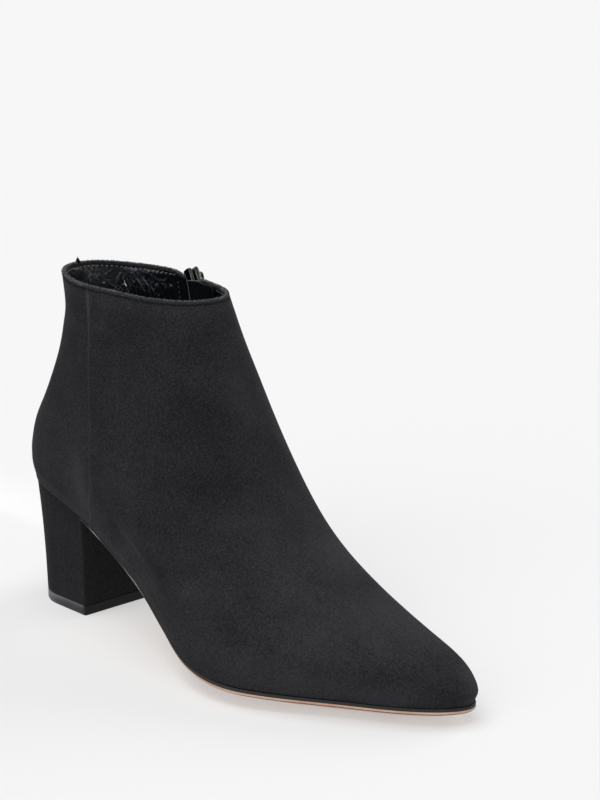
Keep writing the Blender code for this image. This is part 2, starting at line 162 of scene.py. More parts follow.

# Tones of the nap, together with painted highlight and painted shade: at the fold, below the collar, along
# the rear of the feather edge and on the shaft, and in patches, each with its middle, its reach along the
# boot and up it, and its tone.
# At the collar: lighter near the edge and on the fold's crown, partly brushed-up nap and partly painted
# highlight, and painted shade on the fold's inside.
FOLD_LIGHT = 3.0
FOLD_LIGHT_FADE = (1.4, 0.5)
FOLD_CROWN = (4.5, 1.35, 0.6)
FOLD_INSIDE = 1.2
FOLD_INSIDE_FADE = (1.9, 2.9)
FUZZ_TONE = 30
# Below the collar: painted shade along the sunk row of stitches, and a slightly lighter band further down.
COLLAR_TONES = ((-1.2, TOP_STITCH, STITCH_DENT), (0.4, 5.0, 2.5))
REAR_LIGHT = 1.2
REAR_FADE = (90.0, 70.0)
SHAFT_DARK = 0.35
SHAFT_FADE = (70.0, 110.0)
TONE_WINDOW = (0.2165, 0.5595)
PATCH_COLUMNS = ("x", "y", "z", "long", "high", "tone")
# Patches, partly the nap's uneven tone and partly painted light: painted highlight along the outlines of
# instep and toe, painted shade at the back and in the hollows of the outer side.
PATCHES = np.array(
    [
        (108, -22, 80, 26, 7, -0.5),
        (66, -28, 141, 16, 9, -0.5),
        (84, -40, 66, 12, 8, -0.4),
        (103, 1, 114, 8, 18, 0.6),
        (126, -17, 67, 14, 3, 0.5),
        (152, -16, 44, 12, 10, 0.85),
        (137, -15, 56, 10, 8, 0.5),
        (175, -11, 36, 20, 9, 0.8),
        (169, -27, 30, 18, 5, 0.55),
        (196, -7, 28, 13, 6, 0.5),
        (106, -38, 61, 11, 9, -0.2),
        (144, -31, 41, 6, 8, -0.35),
        (143, -40, 32, 10, 8, -0.6),
        (220, 0, 14, 9, 4, -0.1),
        (8, -26, 140, 16, 16, -0.7),
        (2, -27, 110, 16, 16, -1.1),
        (20, -28, 128, 9, 12, -0.7),
        (-8, -27, 82, 14, 14, -0.9),
        (-10, -26, 66, 14, 8, -0.5),
        (30, -30, 147, 12, 6, -0.6),
        (41, -31, 146, 6, 6, -0.5),
        (66, -36, 58, 14, 9, -0.8),
        (80, -38, 51, 10, 4, -0.35),
        (96, -41, 45, 9, 4, -0.35),
        (100, -41, 34, 12, 12, -0.6),
        (117, -42, 42, 7, 5, 0.6),
        (35, -34, 66, 5, 14, 1.4),
        (31, -32, 58, 9, 8, 0.9),
        (165, -34, 14, 25, 7, 1.5),
        (200, -14, 12, 18, 5, 1.7),
        (222, 14, 18, 6, 8, 2.8),
        (225, 13, 10, 5, 6, 2.8),
        (44, -32, 48, 9, 12, 1.2),
        (60, -31, 41, 10, 7, 0.8),
        (182, 14, 35, 14, 8, 1.4),
        (199, 15, 29, 10, 8, 1.4),
        (150, 14, 52, 12, 10, 1.7),
        (128, 12, 70, 10, 14, 0.7),
        (108, 15, 105, 12, 20, 0.7),
        (95, 16, 138, 12, 14, 0.5),
        (111, -1, 100, 8, 14, 0.5),
        (33, -34, 75, 10, 14, 0.8),
        (31, -31, 128, 6, 18, -0.3),
        (79, -34, 33, 8, 4, 0.7),
        (80, -36, 43, 8, 6, -0.9),
        (221, 2, 18, 1.2, 0.9, 1.6),
    ]
)


def through(at, places, values):
    """Values at the given spots on a smooth curve through the table: cubic pieces with weighted slopes."""
    at = np.clip(at, places[0], places[-1])
    step = np.diff(places)
    tail = (1,) * (np.ndim(values) - 1)
    rise = np.diff(values, axis=0) / step.reshape((-1,) + tail)
    share = (step[:-1] / (step[:-1] + step[1:])).reshape((-1,) + tail)
    slope = np.concatenate([rise[:1], rise[:-1] * (1 - share) + rise[1:] * share, rise[-1:]])
    piece = np.clip(np.searchsorted(places, at, side="right") - 1, 0, len(step) - 1)
    shape = np.shape(at) + tail
    run = step[piece].reshape(shape)
    t = ((at - places[piece]) / step[piece]).reshape(shape)
    start = values[piece] * (1 + 2 * t) * (1 - t) ** 2 + slope[piece] * run * t * (1 - t) ** 2
    end = values[piece + 1] * (3 - 2 * t) * t**2 - slope[piece + 1] * run * (1 - t) * t**2
    return start + end


def ramp(value, start, end):
    """Cubic step from 0 at the start to 1 at the end, which may lie below the start."""
    t = np.clip((value - start) / (end - start), 0.0, 1.0)
    return t * t * (3 - 2 * t)


def hump(distance, width):
    """Bell curve of height 1."""
    return np.exp(-((distance / width) ** 2))


def bells(at, rows):
    """Sum of bell curves, each given by its height, its place and its width."""
    return sum(height * hump(at - place, width) for height, place, width in rows)


def unit(vectors):
    """Vectors divided by their lengths."""
    return vectors / np.linalg.norm(vectors, axis=-1, keepdims=True)


def ring_point(level, angle):
    """Outside of the upper. From the side a ring is a chord from back to front that sags with the feather
    line, and from above it is an ellipse whose half-width changes along it."""
    level, angle = np.broadcast_arrays(np.clip(level, 0.0, 1.0), angle)
    place = (1 + np.cos(angle)) / 2
    ends = {name: through(level, RING["level"], RING[name]) for name in RING_COLUMNS[1:5]}
    x = ends["back_x"] + (ends["front_x"] - ends["back_x"]) * place
    chord = ends["back_z"] + (ends["front_z"] - ends["back_z"]) * place
    low_x = RING["back_x"][0] + (RING["front_x"][0] - RING["back_x"][0]) * place
    low_chord = RING["back_z"][0] + (RING["front_z"][0] - RING["back_z"][0]) * place
    sag = through(low_x, BED["x"], BED["height"]) - low_chord
    z = chord + sag * (1 - level) ** SAG_POWER
    share = through(place, STATION["place"], np.eye(len(STATIONS)))
    width = (through(level, RING["level"], WIDTHS) * share).sum(-1)
    swing = (share * STATION["swing"]).sum(-1) * (1 - level)
    return np.stack([x, swing + width * np.sin(angle), z], -1)


def turned_point(level, turn):
    """The same point by turn, whose quarter turns follow the two side seams down the boot."""
    return ring_point(level, turn + SEAM_LEAN * (1 - np.clip(level, 0.0, 1.0)) * np.sin(turn))


def outside(level, turn):
    """Weighted mean of the point and its neighbours a little above and below, which eases the rings' kinks
    between feather edge and collar. On the sides it starts lower, and it reaches further at the waist."""
    side = ramp(np.abs(np.sin(turn)), *SIDE_SINES)
    start = EASE_START - SIDE_DROP * side
    ease = EASE_LEVELS * ramp(level, start, start + EASE_FADE) * ramp(level, EASE_STOP, EASE_STOP - EASE_FADE)
    ease = ease + WAIST_EASE * side * hump(level - WAIST_LEVEL, WAIST_REACH)
    beside = turned_point(level - ease, turn) + turned_point(level + ease, turn)
    return turned_point(level, turn) * (1 - 2 * EASE_SHARE) + beside * EASE_SHARE


def outward(level, turn):
    """Unit normal: cross product of small steps around and up, turned level at the feather edge."""
    along = outside(level, turn + SMALL_STEP) - outside(level, turn - SMALL_STEP)
    up = outside(level + SMALL_STEP, turn) - outside(level - SMALL_STEP, turn)
    normal = unit(np.cross(along, up))
    normal[..., 2] *= ramp(np.broadcast_to(level, normal.shape[:-1]), 0.0, FEATHER_BAND)
    return unit(normal)


def upper_point(level, turn, depth):
    """Point at a depth below the suede's outside, along the normal."""
    return outside(level, turn) - outward(level, turn) * np.asarray(depth)[..., None]


def pace(level, turn):
    """Millimetres for a radian of turn, from a small step."""
    step = outside(level, turn + SMALL_STEP) - outside(level, turn - SMALL_STEP)
    return np.linalg.norm(step, axis=-1) / (2 * SMALL_STEP)


def climb(turn):
    """Millimetres for a whole level, just under the collar."""
    return np.linalg.norm(outside(1.0, turn) - outside(NEAR_TOP, turn), axis=-1) / (1 - NEAR_TOP)


def collar_level(turn, below):
    """Level of a line that runs the given distance below the collar's edge, which is rippled by sine waves
    and dips beside the zip."""
    beside = np.abs(turn - ZIP_TURN)
    beside = np.minimum(beside, 2 * np.pi - beside) * pace(1.0, ZIP_TURN) - ZIP_SLOT / 2
    ripple = COLLAR_RIPPLE * sum(np.sin(count * turn + phase) - 1 for count, phase in COLLAR_WAVES)
    dip = CORNER_DROP * hump(np.maximum(beside, 0.0), CORNER_REACH) - ripple
    return 1.0 - (below + dip) / climb(turn)


def zip_turn(level, offset):
    """Turn of the spot that lies the given distance in front of the zip's middle."""
    return ZIP_TURN - offset / pace(level, ZIP_TURN)


def crowded(count, crowd, waves):
    """Steps from 0 to 1, drawn together by a sine where each of its waves begins and ends."""
    w = np.linspace(0, 1, count)
    return w - crowd / (2 * np.pi * waves) * np.sin(2 * np.pi * waves * w)


def slot_turns(level, columns, crowd):
    """Turns from the slit's rear edge round the boot to its front edge, crowded at the slit and the seam, and
    bent so that the middle one follows the seam."""
    open_share = ramp(level, ZIP_END - SLOT_CLOSES, ZIP_END)
    half = (HAIRLINE + (ZIP_SLOT / 2 - HAIRLINE) * open_share) / pace(level, ZIP_TURN)
    turn = ZIP_TURN + half + 2 * (np.pi - half) * crowded(columns, crowd, 2)
    return turn + hump(turn - SEAM_TURN, SEAM_BLEND) * (seam_turn(level) - SEAM_TURN)


def seam_turn(level):
    """Turn of the outer side's seam, which runs straight down where the form's own line wavers."""
    return SEAM_TURN + through(level, *SEAM_SHIFT.T) / pace(level, SEAM_TURN)


def seam_distance(level, turn):
    """Millimetres in front of the outer side's seam."""
    return (turn - seam_turn(level)) * pace(level, SEAM_TURN)


def seam_relief(distance):
    """Section of a plain seam: a narrow groove between two soft ridges, as bells."""
    return bells(np.abs(distance), SEAM_SECTION)


def patch_tone(points):
    """Sum of soft light and dark patches, partly the nap's uneven tone and partly painted highlight and
    painted shade: a bell in plan times one in height.
    """
    x, y, z = points[..., 0], points[..., 1], points[..., 2]
    total = np.zeros(x.shape)
    for row in PATCHES:
        one = dict(zip(PATCH_COLUMNS, row))
        flat = np.hypot(x - one["x"], y - one["y"])
        total += one["tone"] * hump(flat, one["long"]) * hump(z - one["z"], one["high"])
    return total


def weave(rows, columns, close_rows=False, close_columns=False):
    """Quads between the points of a grid. A closed direction joins its last line to its first."""
    index = np.arange(rows * columns).reshape(rows, columns)
    if close_rows:
        index = np.vstack([index, index[:1]])
    if close_columns:
        index = np.hstack([index, index[:, :1]])
    return np.stack([index[:-1, :-1], index[:-1, 1:], index[1:, 1:], index[1:, :-1]], -1).reshape(-1, 4)


def make_piece(name, points, faces, material, sharp=50.0, **marks):
    """Mesh object of closed shells from points in millimetres, with doubles merged and faces outwards. Each
    mark is a number kept for every point."""
    data = bpy.data.meshes.new(name)
    data.from_pydata((np.reshape(points, (-1, 3)) * MM).tolist(), [], faces)
    for mark, values in marks.items():
        layer = data.attributes.new(mark, "FLOAT", "POINT")
        layer.data.foreach_set("value", np.ravel(values).astype(np.float32))
    mesh = bmesh.new()
    mesh.from_mesh(data)
    bmesh.ops.remove_doubles(mesh, verts=mesh.verts, dist=MERGE_DISTANCE)
    bmesh.ops.dissolve_degenerate(mesh, edges=mesh.edges, dist=SLIVER)
    bmesh.ops.recalc_face_normals(mesh, faces=mesh.faces)
    mesh.to_mesh(data)
    mesh.free()
    data.shade_smooth()
    data.set_sharp_from_angle(angle=np.radians(sharp))
    data.materials.append(material)
    made = bpy.data.objects.new(name, data)
    bpy.context.scene.collection.objects.link(made)
    return made


def fasten(made, slot, *nodes, body="boot"):
    """The piece moves with its body and stands for its solids, which are hidden. Its slot is not used."""
    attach(made, body)
    if nodes:
        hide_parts(*nodes)
    return made


class Finish:
    """A material made node by node. Each call adds one node and gives back its first output."""

    def __init__(self, name):
        """An empty material, with its shader and the piece's own place to start from."""
        self.material = bpy.data.materials.new(name)
        self.material.use_nodes = True
        self.tree = self.material.node_tree
        self.shader = self.tree.nodes["Principled BSDF"]
        self.place = self.node("ShaderNodeTexCoord", output="Object")

    def plug(self, socket, value):
        """Links an output to a socket, or sets the socket to a constant."""
        if isinstance(value, bpy.types.NodeSocket):
            self.tree.links.new(value, socket)
        else:
            socket.default_value = value

    def node(self, kind, inputs=None, output=0, **settings):
        """Any node, with its inputs and settings by name."""
        made = self.tree.nodes.new(kind)
        for name, value in settings.items():
            setattr(made, name, value)
        for name, value in (inputs or {}).items():
            self.plug(made.inputs[name], value)
        return made.outputs[output]

    def mapped(self, scale, turn=(0.0, 0.0, 0.0)):
        """The piece's own place, turned and stretched."""
        return self.node("ShaderNodeMapping", {"Vector": self.place, "Scale": scale, "Rotation": turn})

    def noise(self, scale, detail=2.0, rough=0.5, at=None, twist=0.0):
        """Cloudy pattern from about 0.3 to 0.7."""
        values = {"Vector": at or self.place, "Scale": scale, "Detail": detail, "Roughness": rough,
                  "Distortion": twist}
        return self.node("ShaderNodeTexNoise", values)

    def stretch(self, value, low, high, out_low=0.0, out_high=1.0):
        """A value's range turned into another one, with soft ends."""
        values = {"Value": value, "From Min": low, "From Max": high, "To Min": out_low, "To Max": out_high}
        return self.node("ShaderNodeMapRange", values, interpolation_type="SMOOTHSTEP")

    def sums(self, first, second, operation="ADD"):
        """Sum of two values, or the result of another operation on them."""
        return self.node("ShaderNodeMath", {0: first, 1: second}, operation=operation)

    def weighted(self, value, weight):
        """A value times its weight."""
        return self.sums(value, weight, "MULTIPLY")

    def blend(self, share, first, second):
        """First colour where share is 0, second where it is 1."""
        made = self.tree.nodes.new("ShaderNodeMix")
        made.data_type = "RGBA"
        self.plug(made.inputs[0], share)
        self.plug(made.inputs[6], first)
        self.plug(made.inputs[7], second)
        return made.outputs[2]

    def attribute(self, name):
        """A mark that the mesh keeps for every point."""
        return self.node("ShaderNodeAttribute", output="Fac", attribute_name=name)

    def relief(self, height, distance, strength=1.0, under=None):
        """Bump from a pattern's height over a distance in metres, on top of another bump if one is given."""
        values = {"Height": height, "Distance": distance, "Strength": strength}
        if under:
            values["Normal"] = under
        return self.node("ShaderNodeBump", values)

    def coat(self, **sockets):
        """Sets the shader's sockets. Underscores in the names stand for blanks."""
        for name, value in sockets.items():
            self.plug(self.shader.inputs[name.replace("_", " ")], value)
        return self.material


def grey(value, blue=0.0):
    """Neutral colour, or one with a little more blue."""
    return (value, value, value * (1 + blue), 1.0)


def suede(name, dark, light, along=(1.0, 1.0, 1.0)):
    """Brushed black suede: nap in clouds, strokes and grain, lighter or darker by a mark of nap tone and
    painted light, and lighter where it is seen from the side, a painted sheen, with fibres as fine bump and a
    faint sheen."""
    finish = Finish(name)
    stretched = finish.mapped(along)
    clouds = finish.noise(24.0, 2.0, 0.55, at=stretched, twist=0.6)
    strokes = finish.noise(120.0, 3.0, 0.6, at=stretched)
    grain = finish.noise(1150.0, 3.0, 0.75, at=stretched)
    # Painted sheen: the base colour turns lighter where the surface is seen at a flat angle.
    rim = finish.stretch(finish.node("ShaderNodeLayerWeight", output="Facing"), 0.55, 1.0, 0.0, 0.10)
    nap_tone = finish.sums(finish.weighted(clouds, 0.14), finish.weighted(strokes, 0.07))
    # The mark's tone, the nap's own mixed with painted highlight and painted shade.
    rubbed = finish.weighted(finish.attribute("brushed"), 0.06)
    tone = finish.sums(nap_tone, finish.sums(finish.weighted(grain, 0.52), rubbed))
    colour = finish.blend(finish.stretch(finish.sums(tone, rim), *TONE_WINDOW), dark, light)
    nap = finish.relief(finish.noise(420.0, 3.0, 0.65), 0.0004, 0.35)
    nap = finish.relief(grain, 0.0004, 0.6, under=nap)
    return finish.coat(
        Base_Color=colour, Roughness=1.0, Normal=nap, Specular_IOR_Level=0.02,
        Sheen_Weight=0.03, Sheen_Roughness=0.35, Sheen_Tint=(0.75, 0.76, 0.80, 1.0),
    )


def upper_relief(level, turn, below):
    """Height over the smooth form, a sum of bells, steps and waves: the seam and the closed slit as grooves
    between ridges, the fold's lip, the sunk row of stitches, and the hide's slight unevenness."""
    slit = np.minimum(turn - ZIP_TURN, 2 * np.pi + ZIP_TURN - turn) * pace(level, ZIP_TURN)
    shut = ramp(level, ZIP_END, ZIP_END - SLIT_FADE)
    seams = seam_relief(seam_distance(level, turn)) + seam_relief(slit) * shut
    lip = FOLD_LIP * ramp(below, *LIP_FADE)
    sunk = STITCH_SINK * hump(below - TOP_STITCH, STITCH_DENT)
    waves = np.prod([np.sin(turns * turn + levels * level) for turns, levels in UNEVEN_WAVES], axis=0)
    return seams * ramp(below, *SEAM_FADE) + lip - sunk + UNEVEN * waves * ramp(level, *UNEVEN_FADE)


def upper_nap(points, level, turn, below):
    """How far the nap is lightened or darkened, its own tone and painted light together, a sum of bells and
    steps: the patches, partly painted highlight and shade; the seam's painted highlight and shade, fainter
    halfway up; the fold, lighter at its crown, partly painted highlight, and in painted shade on its inside;
    painted shade at the stitches; a lighter line at the rear of the feather edge; darker up the shaft."""
    wide = SEAM_LIGHT_WIDTH + SEAM_LIGHT_WIDENS * ramp(level, *SEAM_WIDE_FADE)
    # The seam's painted highlight and painted shade, fainter halfway up.
    line = bells(seam_distance(level, turn), ((SEAM_LIGHT, SEAM_LIGHT_PLACE, wide), SEAM_DARK))
    worn = 1.0 - SEAM_WORN * ramp(level, *SEAM_WORN_ABOVE) * ramp(level, *SEAM_WORN_BELOW)
    broken = SEAM_BROKEN[0] + SEAM_BROKEN[1] * np.sin(SEAM_BREAKS * level)
    nap = patch_tone(points) + line * worn * broken * ramp(below, *SEAM_TOP_FADE)
    nap = nap + FOLD_LIGHT * ramp(below, *FOLD_LIGHT_FADE) + bells(below, COLLAR_TONES)
    nap = nap + REAR_LIGHT * ramp(level, FEATHER_LIP, 0.0) * ramp(points[..., 0], *REAR_FADE)
    return nap - SHAFT_DARK * ramp(points[..., 2], *SHAFT_FADE)


def slit_edges(columns, rows, every, start):
    """Faces across a skin's thickness at both edges of the slit. Each joins a few rows of its one side, from
    the top down, to the two rows beside them on its other side, which begins at the row start."""
    faces = []
    for column in (0, columns - 1):
        for step in range((rows - 1) // every):
            top = rows - 1 - every * step
            corners = [*range(top, top - every - 1, -1), start + step + 1, start + step]
            faces.append([row * columns + column for row in corners])
    return faces


def build_upper():
    """Skin of the upper: up the outside with its relief, over the fold at the collar, and down the inside."""
    columns, rows, every = 341, 211, 6
    edge_turn = slot_turns(np.array([[1.0]]), columns, COLUMN_CROWD)
    level = crowded(rows, ROW_CROWD, 1)[:, None] * collar_level(edge_turn, FOLD)
    turn = slot_turns(level[:, :1], columns, COLUMN_CROWD)
    below = (collar_level(edge_turn, 0.0) - level) * climb(edge_turn)
    outer = upper_point(level, turn, -upper_relief(level, turn, below))
    outer[..., 2] -= LASTED_OVER * ramp(level, FEATHER_LIP, 0.0)

    swing = np.linspace(0, np.pi, 11)[:, None]
    fold_level = collar_level(edge_turn, FOLD * (1 - np.sin(swing)))
    fold_depth = FOLD - FOLD * np.cos(swing) - FOLD_LIP * np.maximum(np.cos(swing), 0.0)
    fold_depth = fold_depth - bells((edge_turn - SEAM_TURN) * pace(1.0, SEAM_TURN), (SEAM_BULK,))
    fuzz = FOLD_FUZZ * np.random.default_rng(3).normal(size=fold_level.shape) * np.sin(swing)
    fold = upper_point(fold_level - np.abs(fuzz) / climb(edge_turn), edge_turn, fold_depth + fuzz)[1:]
    # Fold's tone: a lighter crown, partly painted highlight, painted shade on its inside, and random fuzz
    # tone.
    fold_nap = bells(swing, (FOLD_CROWN,)) - FOLD_INSIDE * ramp(swing, *FOLD_INSIDE_FADE) + FUZZ_TONE * fuzz

    tuck_share, tuck_depth = TUCK.T[..., None]
    tuck_level = collar_level(edge_turn, FOLD + tuck_share * TURN_IN)
    tuck = upper_point(tuck_level, edge_turn, tuck_depth)
    inside_level = np.minimum(level[::-every], tuck_level[-1] - INSIDE_CLEAR)
    inner = upper_point(inside_level, turn[::-every], SUEDE)

    loop = np.concatenate([outer, fold, tuck, inner])
    hidden_nap = np.zeros((len(tuck) + len(inner), columns))
    brushed = np.concatenate([upper_nap(outer, level, turn, below), fold_nap[1:], hidden_nap])
    start = rows + len(fold) + len(tuck)
    faces = weave(len(loop), columns, close_rows=True).tolist() + slit_edges(columns, rows, every, start)
    for column in (0, columns - 1):
        faces.append([row * columns + column for row in range(rows - 1, start + 1)])
    return make_piece("upper_suede", loop, faces, UPPER_SUEDE, brushed=brushed)


UPPER_SUEDE = suede("upper_suede", grey(0.0098, 0.09), grey(0.0360, 0.09))
fasten(build_upper(), "suede", "upper")

# Collar nap
# The suede's flesh side is outside, so its fibres stand up where it is folded at the collar. They are the
# hide's own, brushed up by the folding, and make the edge look soft.
NAP_COUNT = 9000
NAP_LENGTH = (0.25, 0.90)
NAP_ROOT = 0.13
NAP_CLEAR = 0.06
NAP_SWING = (1.3, 0.55)
NAP_TILT = 0.35
NAP_TONE = 4.0


def around(count):
    """Even angles of a full turn, without the last, which is the first again."""
    return np.linspace(0, 2 * np.pi, count + 1)[:-1]


def build_nap():
    """Seeded thin three-sided spikes. Each root is at a turn and a swing round the fold, and each spike
    points away from the fold's middle, tilted a little."""
    draw = np.random.default_rng(11)
    turn = draw.uniform(ZIP_TURN + NAP_CLEAR, 2 * np.pi + ZIP_TURN - NAP_CLEAR, NAP_COUNT)
    swing = draw.normal(*NAP_SWING, NAP_COUNT)
    middle = upper_point(collar_level(turn, FOLD), turn, FOLD)
    level = collar_level(turn, FOLD * (1 - np.sin(swing)))
    away = unit(upper_point(level, turn, FOLD - FOLD * np.cos(swing)) - middle)
    lie = unit(away + draw.normal(0.0, NAP_TILT, (NAP_COUNT, 3)))
    side = unit(np.cross(lie, draw.normal(size=(NAP_COUNT, 3))))
    other = np.cross(lie, side)
    angle = around(3)
    ring = np.cos(angle)[:, None] * side[:, None] + np.sin(angle)[:, None] * other[:, None]
    root = middle + away * (FOLD - NAP_ROOT)
    tip = root + lie * draw.uniform(*NAP_LENGTH, (NAP_COUNT, 1))
    points = np.concatenate([root[:, None] + NAP_ROOT * ring, tip[:, None]], 1)
    corners = np.array([(0, 1, 3), (1, 2, 3), (2, 0, 3), (2, 1, 0)])
    faces = corners + 4 * np.arange(NAP_COUNT)[:, None, None]
    bright = np.repeat(draw.uniform(-NAP_TONE, NAP_TONE, NAP_COUNT), 4)
    return make_piece("collar_nap", points, faces.reshape(-1, 3).tolist(), NAP_FIBRES, brushed=bright)


# The fibres' light end is far lighter than the suede's: a painted sheen where they catch light at the edge.
NAP_FIBRES = suede("nap_fibres", grey(0.010, 0.09), grey(0.24, 0.09))
fasten(build_nap(), "suede")

# Lining
# Glossy black lining leather, cut edge to edge with the suede's fold and sewn to it below the collar. It is
# wrinkled where it was drawn round the ankle, and has a matte grip at the back of the heel.
LINING_GAP = 0.1
LINING_RISE = 0.12
LINING_TOP = FOLD + TURN_IN + 0.15
LINING_STITCH = LINING_TOP + 0.5
LINING_CROWD = ((0, 250, 440), (0, 132, 440))
LINING_ROWS = np.array([(0.0, 0.0), (0.3, 0.6), (1.0, 1.0)])
PUCKER = 0.08
PUCKER_WIDTH = 0.45
PUCKER_COUNT = 113
GRIP_TURN = 3.05
GRIP_HALF = 0.16
GRIP_SOFT = 0.06
GRIP_FOOT = 6.5
GRIP_FADE = 3.0
COOL_GLOSS = (0.86, 0.94, 1.0, 1.0)
ANKLE_RADIUS = 42.0
WRINKLE_SWAY = 0.6
WRINKLE_BENDS = 0.5
WRINKLE_FADE = 3.0
WRINKLE_FOOT = 0.1
WRINKLE_COLUMNS = ("turn", "height", "slant", "length", "width", "rise")
MAIN_WRINKLES = np.array(
    [
        (2.72, 11.5, 0.25, 3.5, 0.22, 0.20),
        (2.60, 12.5, 0.35, 3.5, 0.22, 0.22),
        (2.50, 14.5, 0.80, 4.0, 0.22, 0.20),
        (2.45, 12.5, 0.90, 3.0, 0.22, 0.22),
        (2.38, 14.0, 0.95, 4.0, 0.22, 0.22),
        (2.31, 11.5, 1.05, 3.2, 0.24, 0.30),
        (2.27, 13.5, 1.00, 5.0, 0.22, 0.24),
        (2.20, 12.5, 1.05, 5.0, 0.24, 0.30),
        (2.14, 14.0, 1.05, 5.0, 0.22, 0.22),
        (2.05, 13.0, 1.20, 4.0, 0.22, 0.16),
    ]
)
SMALL_COUNT = 420
SMALL_WRINKLES = {
    "turn": (0.1, 2 * np.pi), "height": (4.0, 70.0), "slant": (1.0, 0.25),
    "length": (2.0, 6.0), "width": (0.16, 0.26), "rise": (0.03, 0.10),
}


def wrinkle_rows():
    """The main wrinkles and seeded small ones: turn, millimetres below the collar, slant and sizes. Small
    slants are drawn about a mean, their other values evenly between two ends."""
    draw = np.random.default_rng(7)
    small = []
    for column in WRINKLE_COLUMNS:
        drawn = draw.normal if column == "slant" else draw.uniform
        small.append(drawn(*SMALL_WRINKLES[column], SMALL_COUNT))
    return np.concatenate([MAIN_WRINKLES, np.stack(small, 1)])


def wrinkles(turn, below):
    """Sum of slanted bell-shaped ridges, each long one way and narrow the other, on the unrolled lining."""
    total = np.zeros(np.broadcast(turn, below).shape)
    for row in wrinkle_rows():
        one = dict(zip(WRINKLE_COLUMNS, row))
        across = ((turn - one["turn"] + np.pi) % (2 * np.pi) - np.pi) * ANKLE_RADIUS
        down = below - one["height"]
        along = across * np.cos(one["slant"]) - down * np.sin(one["slant"])
        side = across * np.sin(one["slant"]) + down * np.cos(one["slant"])
        side = side + WRINKLE_SWAY * np.sin(along * WRINKLE_BENDS)
        total += one["rise"] * hump(along, one["length"]) * hump(side, one["width"])
    return total


def build_lining():
    """Inner skin from the feather edge to the stitching under the collar, finer at its top, with the wrinkles
    as depth and a pucker at every stitch."""
    columns, rows, every = 441, 181, 10
    dense = np.interp(np.arange(columns), *LINING_CROWD)
    edge_turn = slot_turns(np.array([[1.0]]), columns, 0.0)
    edge_turn = np.interp(dense, np.arange(columns), edge_turn[0])[None]
    up = through(np.linspace(0, 1, rows), *LINING_ROWS.T)[:, None]
    level = up * collar_level(edge_turn, LINING_TOP)
    turn = slot_turns(level[:, :1], columns, 0.0)
    turn = np.stack([np.interp(dense, np.arange(columns), row) for row in turn])
    below = (collar_level(edge_turn, 0.0) - level) * climb(edge_turn)
    fade = ramp(below, LINING_TOP, LINING_TOP + WRINKLE_FADE) * ramp(level, 0.0, WRINKLE_FOOT)
    puckers = PUCKER * hump(below - LINING_STITCH, PUCKER_WIDTH) * (1 + np.sin(turn * PUCKER_COUNT))
    visible = upper_point(level, turn, WALL - LINING_RISE + wrinkles(turn, below) * fade - puckers)
    hidden = upper_point(level[::-every], turn[::-every], SUEDE + LINING_GAP)
    loop = np.concatenate([visible, hidden])
    grip = ramp(np.abs(turn - GRIP_TURN), GRIP_HALF, GRIP_HALF - GRIP_SOFT)
    grip = grip * ramp(below, GRIP_FOOT + GRIP_FADE, GRIP_FOOT)
    faces = weave(len(loop), columns, close_rows=True).tolist() + slit_edges(columns, rows, every, rows)
    return make_piece("lining", loop, faces, LINING_LEATHER, grip=np.concatenate([grip, grip[::-every]]))


def lining_leather(name):
    """Glossy blue-black leather: fine grain, hairline creases as bump, and a matte grip at the back."""
    finish = Finish(name)
    grip = finish.attribute("grip")
    grain = finish.noise(900.0, 3.0, 0.6)
    cloud = finish.noise(260.0, 3.0, 0.6, at=finish.mapped((1.0, 1.0, 0.4), (0.0, 0.6, 0.0)), twist=0.8)
    hairlines = finish.sums(finish.sums(cloud, 0.5, "SUBTRACT"), 0.0, "ABSOLUTE")
    hairlines = finish.stretch(hairlines, 0.0, 0.035, 1.0, 0.0)
    colour = finish.blend(
        finish.stretch(grain, 0.3, 0.7), (0.0014, 0.0019, 0.0027, 1.0), (0.0034, 0.0043, 0.0058, 1.0),
    )
    specks = finish.stretch(finish.noise(650.0, 3.0, 0.7), 0.40, 0.66)
    colour = finish.blend(grip, colour, finish.blend(specks, grey(0.004), grey(0.045)))
    gloss = finish.stretch(finish.noise(150.0, 2.0), 0.3, 0.7, 0.07, 0.17)
    rough = finish.stretch(grip, 0.0, 1.0, 0.0, 0.08)
    normal = finish.relief(hairlines, 0.0004, 0.5)
    normal = finish.relief(grain, 0.0002, 0.2, under=normal)
    return finish.coat(
        Base_Color=colour, Roughness=finish.sums(gloss, rough), Normal=normal, Specular_IOR_Level=0.55,
        Specular_Tint=COOL_GLOSS,
    )


LINING_LEATHER = lining_leather("lining_leather")
fasten(build_lining(), "lining_leather")

# Collar stitching
# One row of lockstitch holds fold and lining together all round the collar. Outside its black thread sinks
# into the nap, inside it shows as pale dashes on the lining.
STITCH_PITCH = 2.3
STITCH_RADIUS = 0.2
STITCH_STOP = 24.0
OUTSIDE_SINK = 0.08
OUTSIDE_FILL = 0.8
INSIDE_RISE = 0.02
INSIDE_FILL = 0.5
INSIDE_RADIUS = 0.22
LINE_POINTS = 900
THREAD_STEP = 0.3
SPINDLE_RINGS = 6
SPINDLE_SIDES = 6
STEEP = 0.8


def capsules(centre, along, half_length, radius):
    """Small spindles, one for each centre: rings along a line whose radius falls to nothing at both ends."""
    t = np.linspace(-1, 1, SPINDLE_RINGS)
    a = around(SPINDLE_SIDES)
    side = unit(np.cross(along, np.where(np.abs(along[:, 2:]) > STEEP, [[1.0, 0, 0]], [[0, 0, 1.0]])))
    up = np.cross(along, side)
    girth = radius * np.sqrt(np.maximum(1 - t**4, 0.0))
    ring = np.cos(a)[:, None] * side[:, None, None] + np.sin(a)[:, None] * up[:, None, None]
    points = centre[:, None, None] + along[:, None, None] * (t * half_length)[:, None, None]
    points = points + ring * girth[:, None, None]
    quads = weave(len(t), len(a), close_columns=True)
    faces = quads[None] + (np.arange(len(centre)) * len(t) * len(a))[:, None, None]
    return points.reshape(-1, 3), faces.reshape(-1, 4).tolist()


